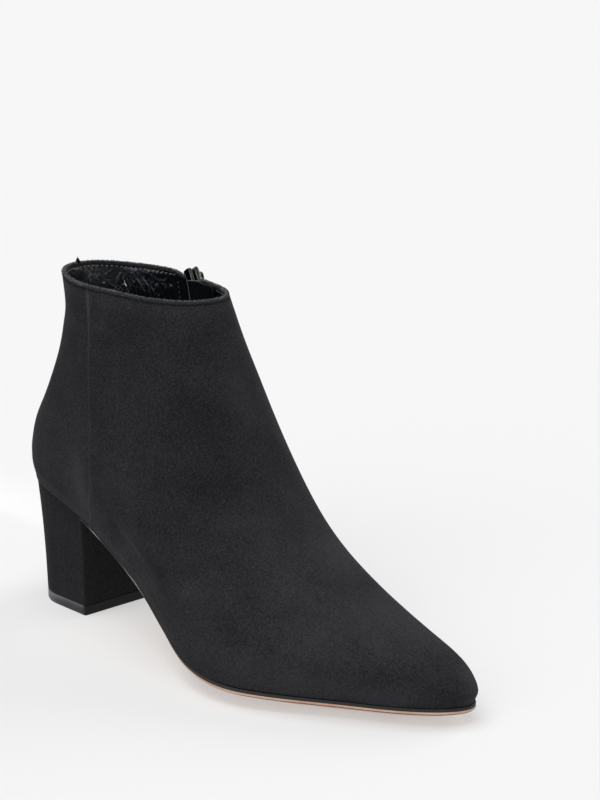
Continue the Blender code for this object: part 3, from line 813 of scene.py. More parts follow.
def run_along(line):
    """Distance of each point of a line from its start, as a running sum of its steps."""
    steps = np.linalg.norm(np.diff(line, axis=0), axis=1)
    return np.concatenate([[0.0], np.cumsum(steps)])


def on_line(line, at):
    """Points at the given distances along a line, straight between its own points."""
    run = run_along(line)
    return np.stack([np.interp(at, run, column) for column in line.T], 1)


def stitch_row(line, pitch, fill, radius):
    """Spindles laid end to end along a dense line of points, each filling a share of the pitch."""
    length = run_along(line)[-1]
    count = int(length / pitch)
    middle = (np.arange(count) + 0.5) * length / count
    along = unit(on_line(line, middle + THREAD_STEP) - on_line(line, middle - THREAD_STEP))
    return capsules(on_line(line, middle), along, pitch * fill / 2, radius)


def thread(name, colour):
    """Twisted polyester thread: a slightly shiny colour with a fine twill along its plies."""
    finish = Finish(name)
    plies = finish.noise(2500.0, 1.0)
    shade = tuple(0.6 * part for part in colour[:3]) + (1.0,)
    tone = finish.blend(finish.stretch(plies, 0.35, 0.65), shade, colour)
    return finish.coat(
        Base_Color=tone, Roughness=0.8, Normal=finish.relief(plies, 0.0001, 0.5), Specular_IOR_Level=0.1,
    )


collar_turn = slot_turns(np.array([1.0]), LINE_POINTS, 0.0)
lined_turn = collar_turn[collar_turn < 2 * np.pi + ZIP_TURN - STITCH_STOP / pace(1.0, ZIP_TURN)]
outside_line = upper_point(collar_level(collar_turn, TOP_STITCH), collar_turn, OUTSIDE_SINK)
inside_line = upper_point(collar_level(lined_turn, LINING_STITCH), lined_turn, WALL + INSIDE_RISE)
outside_row = stitch_row(outside_line, STITCH_PITCH, OUTSIDE_FILL, STITCH_RADIUS)
inside_row = stitch_row(inside_line, STITCH_PITCH, INSIDE_FILL, INSIDE_RADIUS)
BLACK_THREAD = thread("black_thread", grey(0.004))
GREY_THREAD = thread("grey_thread", grey(0.20))
fasten(make_piece("collar_stitches", *outside_row, BLACK_THREAD), "suede")
fasten(make_piece("lining_stitches", *inside_row, GREY_THREAD), "lining_leather")

# Thread end
# At the back of the collar the black polyester threads of the stitching end in a short tuft. It stands up
# where they were cut off, and its foot is caught under the fold.
TUFT_TURN = 3.28
TUFT_ROOT = 2.0
TUFT_RADIUS = 0.42
TUFT_FAN = ((-0.24, 2.9), (-0.11, 3.9), (0.01, 4.7), (0.12, 3.8), (0.24, 2.8))


def joined(shells):
    """One array of points and one list of faces from several shells, each face's corners counted on."""
    points, faces, count = [], [], 0
    for shape, corners in shells:
        flat = np.reshape(shape, (-1, 3))
        points.append(flat)
        faces += [[corner + count for corner in face] for face in corners]
        count += len(flat)
    return np.concatenate(points), faces


tuft_turn = np.array([TUFT_TURN])
tuft_foot = upper_point(collar_level(tuft_turn, TUFT_ROOT), tuft_turn, FOLD)
tuft = []
for slant, length in TUFT_FAN:
    upwards = unit(np.array([[slant, slant, 1.0]]))
    tuft.append(capsules(tuft_foot + upwards * length / 2, upwards, length / 2, TUFT_RADIUS))
fasten(make_piece("thread_tuft", *joined(tuft), BLACK_THREAD), "suede")

# Zip tapes and coil
# Two woven tapes are sewn behind the edges of the slit. Their coils, wound from black nylon, are closed and
# fill the slit from its foot to the slider.
TAPE_OFFSETS = (2.5, 14.0)
TAPE_DEPTHS = (2.3, 3.1)
TAPE_TOP = 0.985
TAPE_FOOT = ZIP_END - 0.01
TAPE_STITCH = 9.5
TAPE_STITCH_TOP = TAPE_TOP - 0.01
TAPE_STITCH_RISE = 0.05
TAPE_STITCH_FILL = 0.6
COIL_PITCH = 1.25
COIL_FOOT = ZIP_END + 0.004
COIL_MIDDLE = 1.15
COIL_DEPTH = 1.0
COIL_LEAN = 0.55
COIL_HALF = 1.3
COIL_REACH = 1.45
COIL_WIRE = 0.55
CORE_HALF = 1.9
CORE_DEPTHS = (1.3, 2.9)
SLIDER_FOOT = 8.5


def strip(level, offsets, outer_depth, inner_depth):
    """Closed band beside the zip's middle, between two depths that may change over it: faces and rims."""
    level, offsets = np.broadcast_arrays(level, offsets)
    turn = zip_turn(level, offsets)
    rows, columns = turn.shape
    sheets = [upper_point(level, turn, depth) for depth in (outer_depth, inner_depth)]
    loop = np.concatenate([sheets[0], sheets[1][:, ::-1]], 1)
    faces = weave(rows, 2 * columns, close_columns=True).tolist()
    for row in (0, rows - 1):
        across = row * 2 * columns + np.arange(columns)
        back = row * 2 * columns + 2 * columns - 1 - np.arange(columns)
        faces += np.stack([across[:-1], across[1:], back[1:], back[:-1]], 1).tolist()
    return loop, faces


def zip_tape(name):
    """Black woven tape: ribs across it, as bump and as slightly lighter threads."""
    finish = Finish(name)
    ribs = finish.node(
        "ShaderNodeTexWave", {"Vector": finish.place, "Scale": 700.0, "Distortion": 0.6},
        bands_direction="Z",
    )
    fuzz = finish.noise(1800.0, 2.0)
    colour = finish.blend(ribs, (0.0010, 0.0018, 0.0024, 1.0), (0.0022, 0.0036, 0.0046, 1.0))
    normal = finish.relief(finish.sums(ribs, fuzz), 0.00015, 0.4)
    return finish.coat(
        Base_Color=colour, Roughness=0.75, Normal=normal, Specular_IOR_Level=0.05, Specular_Tint=COOL_GLOSS,
    )


def nylon(name):
    """Smooth black nylon with a faint drawn streak."""
    finish = Finish(name)
    streaks = finish.noise(700.0, 2.0)
    colour = finish.blend(streaks, grey(0.006), grey(0.014))
    gloss = finish.stretch(streaks, 0.3, 0.7, 0.30, 0.42)
    return finish.coat(Base_Color=colour, Roughness=gloss, Normal=finish.relief(streaks, 0.0001, 0.3))


ZIP_TAPE = zip_tape("zip_tape")
tape_levels = np.linspace(TAPE_FOOT, TAPE_TOP, 60)[:, None]
near, far = TAPE_OFFSETS
for name, low, high in (("zip_tape_front", near, far), ("zip_tape_rear", -far, -near)):
    tape = strip(tape_levels, np.linspace(low, high, 12), *TAPE_DEPTHS)
    fasten(make_piece(f"{name}_cloth", *tape, ZIP_TAPE), "zip_cloth", name)

sewn_level = np.linspace(ZIP_END, TAPE_STITCH_TOP, 300)
sewn_line = upper_point(sewn_level, zip_turn(sewn_level, -TAPE_STITCH), TAPE_DEPTHS[1] + TAPE_STITCH_RISE)
sewn_row = stitch_row(sewn_line, STITCH_PITCH, TAPE_STITCH_FILL, STITCH_RADIUS)
DULL_THREAD = thread("dull_thread", grey(0.075))
fasten(make_piece("tape_stitches", *sewn_row, DULL_THREAD), "zip_cloth")

coil_level = np.linspace(COIL_FOOT, 1.0 - SLIDER_FOOT / climb(ZIP_TURN), 600)
coil_run = run_along(upper_point(coil_level, ZIP_TURN, COIL_MIDDLE))
coil_count = int(coil_run[-1] / COIL_PITCH)
coil_at = np.interp((np.arange(coil_count) + 0.5) * COIL_PITCH, coil_run, coil_level)
coil_lean = np.where(np.arange(coil_count) % 2, COIL_LEAN, -COIL_LEAN)
coil_rear = upper_point(coil_at, zip_turn(coil_at, coil_lean - COIL_HALF), COIL_DEPTH)
coil_front = upper_point(coil_at, zip_turn(coil_at, coil_lean + COIL_HALF), COIL_DEPTH)
coil = capsules((coil_rear + coil_front) / 2, unit(coil_front - coil_rear), COIL_REACH, COIL_WIRE)
core = strip(coil_level[::12, None], np.linspace(-CORE_HALF, CORE_HALF, 5), *CORE_DEPTHS)
fasten(make_piece("zip_coil", *joined([coil, core]), nylon("zip_nylon")), "zip_coil", "zip_teeth")

# Zip guard
# A flap of lining leather keeps the coil off the ankle. It is sewn in at the front of the zip, lies behind
# coil and tapes, and its rear edge is cut raw and free.
GUARD_REAR = (-5.5, 3.0)
GUARD_REAR_LEVELS = (0.74, 1.0)
GUARD_FRONT = 23.0
GUARD_FOOT = 0.22
GUARD_TOP = np.array([(3.0, 1.6), (8.0, 0.6), (12.0, 0.3), (15.5, 0.7), (23.0, 1.0)])
GUARD_DEPTHS = np.array([(-6.0, 4.7), (7.5, 4.7), (13.0, 3.35), (15.0, 3.3), (19.5, 2.3), (23.0, 2.3)])
GUARD_THICKNESS = 1.0
GUARD_COLUMNS = np.concatenate([[0, 0.012, 0.024, 0.040], np.linspace(0.06, 1, 38)])
GUARD_SLACK = 0.15
GUARD_WAVES = 31
GUARD_SLACK_FADE = (12.0, 6.0)
GUARD_TOP_EDGE = (0.95, 7.0, 14.0)


def build_guard():
    """Band behind the zip that comes down on the wall past the front tape. Its free edge runs in towards the
    coil at the top, and it has a slack sine wave along it."""
    up = np.linspace(0, 1, 100)[:, None]
    rough_level = GUARD_FOOT + (1 - GUARD_FOOT) * up
    rear = GUARD_REAR[0] + (GUARD_REAR[1] - GUARD_REAR[0]) * ramp(rough_level, *GUARD_REAR_LEVELS)
    offsets = rear + (GUARD_FRONT - rear) * GUARD_COLUMNS
    top = 1 - through(offsets[-1], *GUARD_TOP.T) / climb(zip_turn(1.0, offsets[-1]))
    level = GUARD_FOOT + (top - GUARD_FOOT) * up
    slack = GUARD_SLACK * (1 + np.sin(rough_level * GUARD_WAVES)) * ramp(offsets, *GUARD_SLACK_FADE)
    depth = np.interp(offsets, *GUARD_DEPTHS.T) + slack
    loop, faces = strip(level, offsets, depth, depth + GUARD_THICKNESS)
    # Edge marks: grey along the rear edge and the top edge, partly the cut edge's own and partly painted
    # highlight.
    edge = np.zeros(loop.shape[:2])
    edge[:, :2] = 1.0
    edge[:, -4:] = 1.0
    top_offsets = np.concatenate([offsets[-1], offsets[-1, ::-1]])
    edge[-1] = np.maximum(edge[-1], bells(top_offsets, (GUARD_TOP_EDGE,)))
    return make_piece("zip_guard_flap", loop, faces, GUARD_LEATHER, raw_edge=edge)


def guard_leather(name):
    """Smooth black leather, grey along its cut edges: partly the cut edge's own grey, partly a painted
    highlight.
    """
    finish = Finish(name)
    grain = finish.noise(700.0, 3.0, 0.6)
    skin = finish.blend(
        finish.stretch(grain, 0.3, 0.7), (0.0018, 0.0027, 0.0034, 1.0), (0.0034, 0.0050, 0.0062, 1.0),
    )
    raw = finish.stretch(finish.attribute("raw_edge"), 0.75, 1.0)
    colour = finish.blend(raw, skin, grey(0.09, 0.12))
    return finish.coat(
        Base_Color=colour, Roughness=0.42, Normal=finish.relief(grain, 0.0002, 0.35), Specular_IOR_Level=0.25,
        Specular_Tint=COOL_GLOSS,
    )


GUARD_LEATHER = guard_leather("guard_leather")
fasten(build_guard(), "lining_leather", "zip_guard")

# Slider
# The slider is cast in zinc and plated gunmetal: an outer and an inner plate on a wedge, with a bridge on the
# outer plate that holds the pull. It stands at the top of the zip, a little above the collar.
SLIDER_BELOW_COLLAR = 2.5
PLATE = ((0.0, 0.0, 1.1), (4.0, 5.0, 0.6))
WEDGE = ((0.0, 0.6, -0.9), (1.7, 4.2, 2.2))
BACK_PLATE = ((-0.6, 0.0, -2.9), (2.5, 5.0, 0.45))
RAILS = (
    ((3.55, 0.0, 0.4), (0.4, 4.7, 1.0)),
    ((-3.55, 0.0, 0.4), (0.4, 4.7, 1.0)),
    ((1.55, 0.0, -2.6), (0.4, 4.8, 0.8)),
    ((-2.75, 0.0, -2.6), (0.4, 4.8, 0.8)),
)
SLIDER_LEAN = np.radians(17)
SLIDER_LEVEL = 0.97
SLIDER_REACH = 0.03
BLOCK_SIDES = 40
BLOCK_RINGS = 21
BLOCK_SQUARE = 0.3
HINGE_HEIGHT = 2.8
BRIDGE_FEET = 2.75
BRIDGE_BASE = 1.5
BRIDGE_RISE = 3.1
BRIDGE_BAR = (1.1, 0.38)
BRIDGE_SQUARE = 0.5


def slider_axes():
    """Origin and unit vectors of the slider: across to the back, up the zip, out of the boot."""
    out = outward(np.array(SLIDER_LEVEL), np.array(ZIP_TURN))
    edge = outside(1.0, ZIP_TURN)
    up = unit(edge - outside(SLIDER_LEVEL - SLIDER_REACH, ZIP_TURN))
    out = unit(out - up * (out @ up))
    return edge - up * SLIDER_BELOW_COLLAR, np.stack([np.cross(up, out), up, out])


def on_slider(points):
    """Points from the slider's own axes to the boot's."""
    origin, axes = slider_axes()
    return origin + np.reshape(points, (-1, 3)) @ axes


def squared(value, power):
    """A sine or cosine raised to a small power with its sign kept, which squares off a circle."""
    return np.sign(value) * np.abs(value) ** power


def rounded_block(middle, half):
    """Block with rounded edges: a ball whose sines and cosines are raised to a small power."""
    a = np.linspace(-np.pi, np.pi, BLOCK_SIDES + 1)[:-1]
    b = np.linspace(-np.pi / 2, np.pi / 2, BLOCK_RINGS)[:, None]
    girth = squared(np.cos(b), BLOCK_SQUARE)
    x = girth * squared(np.cos(a), BLOCK_SQUARE)
    y = girth * squared(np.sin(a), BLOCK_SQUARE)
    z = squared(np.sin(b), BLOCK_SQUARE) * np.ones_like(a)
    shape = np.stack([x, y, z], -1) * np.array(half) + np.array(middle)
    return shape, weave(BLOCK_RINGS, BLOCK_SIDES, close_columns=True)


def capped_stack(rings):
    """Closed body from rings stacked from one end to the other, with flat ends."""
    count = len(rings[0])
    faces = weave(len(rings), count, close_columns=True).tolist()
    faces += [list(range(count)), list(range((len(rings) - 1) * count, len(rings) * count))]
    return np.concatenate(rings), faces


def build_slider():
    """Plates, rails and wedge as rounded blocks that lean back, the bridge as a flat bar bent to an arch."""
    cosine, sine = np.cos(SLIDER_LEAN), np.sin(SLIDER_LEAN)
    lean = np.array([(cosine, -sine, 0), (sine, cosine, 0), (0, 0, 1)])
    blocks = [rounded_block(*size) for size in (PLATE, WEDGE, BACK_PLATE, *RAILS)]
    shells = [(shape @ lean, quads) for shape, quads in blocks]
    t = np.linspace(0, np.pi, 25)
    rise = BRIDGE_BASE + BRIDGE_RISE * squared(np.sin(t), BRIDGE_SQUARE)
    arch = np.stack([-BRIDGE_FEET * squared(np.cos(t), BRIDGE_SQUARE), rise], -1)
    tangent = unit(np.gradient(arch, axis=0))
    a = around(16)
    wide = BRIDGE_BAR[0] * squared(np.cos(a), BRIDGE_SQUARE) * np.ones((len(t), 1))
    thick = BRIDGE_BAR[1] * squared(np.sin(a), BRIDGE_SQUARE)
    bar = np.stack([wide, arch[:, :1] - tangent[:, 1:] * thick, arch[:, 1:] + tangent[:, :1] * thick], -1)
    points, faces = joined([*shells, capped_stack(bar)])
    return make_piece("zip_slider_body", on_slider(points), faces, GUNMETAL)


def gunmetal(name):
    """Plated dark metal, polished, with fine handling scratches and slightly worn gloss."""
    finish = Finish(name)
    wear = finish.noise(260.0, 3.0, 0.6)
    scratches = finish.noise(1500.0, 2.0, 0.5, at=finish.mapped((1.0, 1.0, 0.15)))
    colour = finish.blend(wear, grey(0.08, -0.05), grey(0.16, 0.0))
    gloss = finish.stretch(scratches, 0.3, 0.7, 0.14, 0.28)
    normal = finish.relief(scratches, 0.00005, 0.4)
    return finish.coat(Base_Color=colour, Metallic=1.0, Roughness=gloss, Normal=normal)


GUNMETAL = gunmetal("gunmetal")
fasten(build_slider(), "gunmetal", "zip_slider")

# Pull
# A flat zinc tab, plated like the slider, hangs on the bridge by its eye and swings up from the boot. The bar
# over the eye is the hinge.
PULL_HALF = 2.9
PULL_LENGTH = 24.0
PULL_BAR = 0.6
PULL_THICKNESS = 1.1
EYE_HALF = 1.7
EYE_LENGTH = 4.6
RIM_SQUARE = 0.42
EYE_SQUARE = 0.3
SECTION_SQUARE = 0.35
PULL_STEPS = 96
PULL_SIDES = 28


def box_line(half_wide, low, high, square):
    """Rounded box in the tab's plane: a circle squared off, as wide and as long as asked."""
    a = around(PULL_STEPS)
    along = (low + high) / 2 + (high - low) / 2 * squared(np.sin(a), square)
    return np.stack([half_wide * squared(np.cos(a), square), along], -1)


def build_pull():
    """Ring between the tab's rim and its eye: both are rounded boxes round the same angles, and the metal
    between them has a rounded section."""
    rim = box_line(PULL_HALF, -PULL_LENGTH, PULL_BAR, RIM_SQUARE)
    eye = box_line(EYE_HALF, -PULL_BAR - EYE_LENGTH, -PULL_BAR, EYE_SQUARE)
    b = around(PULL_SIDES)
    share = 0.5 + 0.5 * squared(np.cos(b), SECTION_SQUARE)
    height = HINGE_HEIGHT + PULL_THICKNESS / 2 * squared(np.sin(b), SECTION_SQUARE)
    plan = eye[:, None] + (rim - eye)[:, None] * share[:, None]
    points = np.concatenate([plan, np.broadcast_to(height[None, :, None], plan.shape[:2] + (1,))], -1)
    faces = weave(PULL_STEPS, PULL_SIDES, close_rows=True, close_columns=True).tolist()
    return make_piece("zip_pull_tab", on_slider(points), faces, GUNMETAL, sharp=35.0)


fasten(build_pull(), "gunmetal", "zip_pull", body="pull")

# Insole
# A fibre board covered in the lining's black leather lies on sole and heel seat, hollowed to the foot. The
# upper and its lining were lasted round it, and its top edge is rounded.
BED_POWER = 2.5
HOLLOW_ENDS = 0.45
INSOLE_THICKNESS = 2.0
INSOLE_CLEAR = WALL + 0.6
INSOLE_ROUND = 0.8
INSOLE_ANGLES = np.linspace(0.0, np.pi, 121)
BED_SIDES = np.sin(np.linspace(-np.pi / 2, np.pi / 2, 33))


def bed_edge(angle, grow):
    """Plan of the feather edge moved out by a distance along its normal."""
    ahead, behind = ring_point(0.0, angle + SMALL_STEP), ring_point(0.0, angle - SMALL_STEP)
    tangent = unit((ahead - behind)[..., :2])
    return ring_point(0.0, angle)[..., :2] + grow * np.stack([tangent[..., 1], -tangent[..., 0]], -1)


def bed_fade(angles):
    """Share of the hollow at each station, nothing at heel and toe."""
    return ramp(np.sin(angles), 0.0, HOLLOW_ENDS)[:, None]


def bed_sheet(angles, grow, lift):
    """Grid over the bed: straight lines across from edge to edge, hollowed by a power curve."""
    outer, inner = bed_edge(-angles, grow), bed_edge(angles, grow)
    share = ((BED_SIDES + 1) / 2)[None, :, None]
    plan = outer[:, None] * (1 - share) + inner[:, None] * share
    height = through(plan[..., 0], BED["x"], BED["height"])
    hollow = through(plan[..., 0], BED["x"], BED["hollow"])
    z = height - hollow * bed_fade(angles) * (1 - np.abs(BED_SIDES) ** BED_POWER) + lift
    return np.concatenate([plan, z[..., None]], -1)


def slab(sheets):
    """Closed slab from like grids stacked from top to bottom: the first and last as faces, all as edge."""
    rows, columns = sheets[0].shape[:2]
    rim = [np.concatenate([s[:, 0], s[-1, 1:-1], s[::-1, -1], s[0, -2:0:-1]]) for s in sheets]
    points = np.concatenate([sheets[0].reshape(-1, 3), sheets[-1].reshape(-1, 3), np.concatenate(rim)])
    quads = weave(rows, columns)
    band = weave(len(rim), len(rim[0]), close_columns=True) + 2 * rows * columns
    return points, np.concatenate([quads, quads[:, ::-1] + rows * columns, band]).tolist()


def build_insole():
    """Slab of the bed's sheets: the top, a quarter round along its edge, and the underside."""
    section = [(INSOLE_CLEAR + INSOLE_ROUND, INSOLE_THICKNESS)]
    for turn in np.linspace(0.2, 1.0, 5) * np.pi / 2:
        inset = INSOLE_CLEAR + INSOLE_ROUND * (1 - np.sin(turn))
        section.append((inset, INSOLE_THICKNESS - INSOLE_ROUND * (1 - np.cos(turn))))
    section.append((INSOLE_CLEAR, 0.0))
    points, faces = slab([bed_sheet(INSOLE_ANGLES, -inset, lift) for inset, lift in section])
    return make_piece("insole_cover", points, faces, insole_leather("insole_leather"))


def insole_leather(name):
    """Soft black leather with a visible grain and a dull gloss."""
    finish = Finish(name)
    grain = finish.node("ShaderNodeTexVoronoi", {"Vector": finish.place, "Scale": 900.0})
    clouds = finish.noise(30.0, 3.0)
    colour = finish.blend(finish.stretch(clouds, 0.35, 0.65), grey(0.0040, 0.3), grey(0.0080, 0.3))
    normal = finish.relief(grain, 0.0003, 0.6)
    return finish.coat(Base_Color=colour, Roughness=0.6, Normal=normal, Specular_IOR_Level=0.2)


fasten(build_insole(), "lining_leather", "insole")

# Outsole
# A thin leather sole is cemented on from the toe to the front of the heel. Its edge is dressed black, with a
# painted highlight in grey along the waist. Its lower corner and underside are tan, with painted shade in
# dark brown on the corner at the toe.
BREAST_TOP_X = 25.4
GAP = 0.3
SOLE_GROW = 0.5
SOLE_EDGE = 2.2
SOLE_MIDDLE = 4.0
BEVEL = 0.55
BEVEL_STEPS = (0.06, 0.5, 0.94)
TOP_INSET = 0.25
TOP_ROUND = 0.15
RIM_START = 0.35
UNDER_INSET = 0.1
UNDER_SWELL = 0.5
EDGE_DROP = 0.9
SOLE_GAP = LASTED_OVER + 0.12
SOLE_RIM = SOLE_EDGE + GAP - SOLE_GAP + EDGE_DROP
WAIST_TRIM = (135.0, 95.0)
WAIST_INSET = 0.25
WAIST_THIN = 0.75
BALL_SNUG = ((88.0, 102.0), (152.0, 132.0))
BALL_INSET = 0.35
WAIST_DRESSED = (84.0, 72.0)
# Painted highlight: the dressing turns grey along the waist's edge, lightest at two places.
WAIST_GREY = 0.03
WAIST_RUBBED = ((0.8, 38.5, 4.5), (0.8, 71.0, 10.0))
FOREPART = (125.0, 160.0)
BALL_DRESSING = (1.0, 1.0, 1.0, 1.0, 0.40, 0.0, 0.0, 0.0, 0.0, 0.0)
TOE_DRESSING = (1.0, 1.0, 1.0, 1.0, 0.20, 0.0, 0.0, 0.0, 0.0, 0.0)
# Painted shade: the toe's lower corner and bevel turn dark brown.
TOE_BURNISH = (0.0, 0.0, 0.0, 0.0, 0.0, 0.4, 1.0, 1.0, 1.0, 1.0)


def bed_angle(x):
    """Angle of the feather edge's point at a place along the foot."""
    place = (x - RING["back_x"][0]) / (RING["front_x"][0] - RING["back_x"][0])
    return np.arccos(2 * place - 1)


SOLE_ANGLES = bed_angle(BREAST_TOP_X + GAP) * np.linspace(0.0, 1.0, 141)


def sole_sheet(grow, lift, thicken=0.0):
    """Sheet of the sole: the bed lowered, thickened to its middle and flattened where it meets the ground.
    At the waist its edge is trimmed back and thinned, and beside the ball it is trimmed back."""
    sheet = bed_sheet(SOLE_ANGLES, grow, 0.0)
    waist = ramp(sheet[..., 0], *WAIST_TRIM)
    snug = ramp(sheet[..., 0], *BALL_SNUG[0]) * ramp(sheet[..., 0], *BALL_SNUG[1])
    inward = bed_sheet(SOLE_ANGLES, grow - 1.0, 0.0) - sheet
    sheet = sheet + inward * (WAIST_INSET * waist + BALL_INSET * snug)[..., None]
    sheet[..., 2] += lift * (1 - WAIST_THIN * waist) - SOLE_GAP
    sheet[..., 0] = np.maximum(sheet[..., 0], BREAST_TOP_X + GAP)
    sheet[..., 2] -= thicken * (SOLE_MIDDLE - SOLE_EDGE) * bed_fade(SOLE_ANGLES) * (1 - BED_SIDES**2)
    sheet[..., 2] = np.maximum(sheet[..., 2], 0.0)
    return sheet


def sole_sheets():
    """Sheets from the top down: a rounded top edge, an upright rim, a bevel, and the swelling underside."""
    sheets = [sole_sheet(SOLE_GROW - TOP_INSET, 0.0), sole_sheet(SOLE_GROW, -TOP_ROUND)]
    sheets += [sole_sheet(SOLE_GROW, -drop) for drop in np.linspace(RIM_START, SOLE_RIM - BEVEL, 4)]
    sheets += [sole_sheet(SOLE_GROW - BEVEL * t, -SOLE_RIM + BEVEL * (1 - t)) for t in BEVEL_STEPS]
    return [*sheets, sole_sheet(SOLE_GROW - BEVEL - UNDER_INSET, -SOLE_RIM, UNDER_SWELL)]


def sole_leather(name):
    """Tan sole leather with fine pores and drag marks along it, or under a black dressing. Painted shade
    makes the tan dark brown at the toe's corner, and painted highlight makes the dressing grey at the waist.
    """
    finish = Finish(name)
    fibres = finish.noise(160.0, 4.0, 0.6, at=finish.mapped((0.25, 1.0, 1.0)))
    pores = finish.noise(1600.0, 2.0)
    tan = finish.blend(finish.stretch(fibres, 0.3, 0.7), (0.46, 0.27, 0.19, 1.0), (0.62, 0.42, 0.32, 1.0))
    # Painted shade: dark brown on the toe's lower corner.
    burnish = finish.stretch(finish.attribute("burnished"), 0.3, 1.0)
    tan = finish.blend(burnish, tan, (0.035, 0.015, 0.009, 1.0))
    dressed = finish.blend(pores, grey(0.014), grey(0.032))
    # Painted highlight: the dressing turns grey along the waist.
    dressed = finish.blend(finish.stretch(finish.attribute("rubbed"), 0.0, 1.0), dressed, grey(0.22))
    ragged = finish.sums(finish.attribute("dressed"), finish.weighted(fibres, 0.16))
    share = finish.stretch(ragged, 0.50, 0.64)
    gloss = finish.stretch(share, 0.0, 1.0, 0.45, 0.55)
    normal = finish.relief(finish.sums(fibres, pores), 0.0002, 0.4)
    return finish.coat(
        Base_Color=finish.blend(share, tan, dressed), Roughness=gloss, Normal=normal, Specular_IOR_Level=0.2,
    )


def build_outsole():
    """Slab of the sole's sheets. How far each sheet's rim is dressed, and where it has painted highlight at
    the waist and painted shade at the toe's corner, is kept as marks, which steps along the foot mix from the
    rows for waist, ball and toe."""
    sheets = sole_sheets()
    points, faces = slab(sheets)
    face_points = sheets[0][..., 0].size
    rim_points = (len(points) - 2 * face_points) // len(sheets)
    rim = np.arange(len(points)) >= 2 * face_points
    x = points[:, 0]

    def by_sheet(top, bottom, row):
        """A value for the top face, one for the bottom face, and one for the rim of each sheet."""
        return np.concatenate([np.repeat([top, bottom], face_points), np.repeat(row, rim_points)])

    forepart = ramp(x, *FOREPART)
    waist = ramp(x, *WAIST_DRESSED)
    ball, toe = by_sheet(1.0, 0.0, BALL_DRESSING), by_sheet(1.0, 0.0, TOE_DRESSING)
    dressed = ball + (toe - ball) * forepart
    dressed = np.where(rim, np.maximum(dressed, waist), dressed)
    # Painted highlight along the waist's edge and painted shade on the toe's lower corner.
    rubbed = rim * waist * (WAIST_GREY + bells(x, WAIST_RUBBED))
    burnished = by_sheet(0.0, 0.0, TOE_BURNISH) * forepart
    return make_piece(
        "outsole_leather", points, faces, sole_leather("sole_leather"), sharp=60.0, dressed=dressed,
        rubbed=rubbed, burnished=burnished,
    )


fasten(build_outsole(), "sole_leather", "outsole")

# Heel
# The block heel is moulded, hollowed on top to the seat, and covered in the same suede, which is drawn round
# its two front corners and glued over the breast.
HEEL_FOOT_LENGTH = 45.0
HEEL_FOOT_WIDTH = 48.6
HEEL_FOOT_POWER = 2.15
HEEL_INSET = 0.4
TIP_THICKNESS = 4.6
HEEL_STATIONS = 61
CORNER_ROUND = 1.3
HEEL_RINGS = np.concatenate([[0.0, 0.004], np.linspace(0.012, 0.988, 60), [0.996, 1.0]])
HEEL_WAIST = 0.012
HEEL_EDGE = 0.012
HEEL_EDGE_REACH = 0.012
BREAST_REACH = 0.05
HEEL_TONE = -0.1
# Painted highlight at the front corners, and painted shade under the seat and on the breast.
HEEL_CORNER_LIGHT = 1.4
HEEL_CORNER_WIDTHS = (3.0, 4.0)
UNDER_SEAT_DARK = 0.8
UNDER_SEAT_REACH = 9.0
BREAST_DARK = 0.4
BREAST_FADE = (20.0, 22.0)


def heel_angles():
    """Stations of the seat's edge from the breast to the back."""
    return np.linspace(bed_angle(BREAST_TOP_X), np.pi, HEEL_STATIONS)


def heel_foot_edge(side):
    """Plan of the heel's foot on one side: straight, then a quarter of a rounded ellipse."""
    top_x = ring_point(0.0, heel_angles())[:, 0]
    share = (top_x - top_x[-1]) / (top_x[0] - top_x[-1])
    half_length = HEEL_FOOT_LENGTH / 2
    x = half_length * (2 * share - 1)
    behind = np.clip(-x / half_length, 0.0, 1.0)
    half_width = HEEL_FOOT_WIDTH / 2 * (1 - behind**HEEL_FOOT_POWER) ** (1 / HEEL_FOOT_POWER)
    return np.stack([x, side * half_width], -1)


def closed_outline(outer, inner):
    """Loop of the heel: along the outer side to the back, along the inner side and across the breast."""
    t = np.linspace(0, 1, 50)[1:-1, None]
    return np.concatenate([outer, inner[-2::-1], inner[0] * (1 - t) + outer[0] * t])


def rounded_outline(loop, radius, count=360):
    """Loop at even steps, its corners rounded by a running mean as wide as the radius."""
    ring = np.vstack([loop, loop[:1]])
    length = run_along(ring)[-1]
    even = on_line(ring, np.linspace(0, length, count, endpoint=False))
    reach = max(1, int(radius / (length / count)))
    return sum(np.roll(even, shift, axis=0) for shift in range(-reach, reach + 1)) / (2 * reach + 1)


def seat_loop():
    """Edge of the seat under the upper, in space."""
    outer, inner = bed_edge(-heel_angles(), -HEEL_INSET), bed_edge(heel_angles(), -HEEL_INSET)
    loop = closed_outline(outer, inner)
    loop[:, 0] = np.minimum(loop[:, 0], BREAST_TOP_X)
    height = through(loop[:, 0], BED["x"], BED["height"]) - GAP
    reach = np.clip(np.abs(loop[:, 1]) / np.abs(outer[0, 1]), 0, 1)
    front = loop[:, 0] > BREAST_TOP_X - BREAST_REACH
    hollow = through(loop[:, 0], BED["x"], BED["hollow"]) * (1 - reach**BED_POWER)
    return np.column_stack([loop, height - np.where(front, hollow, 0.0)])


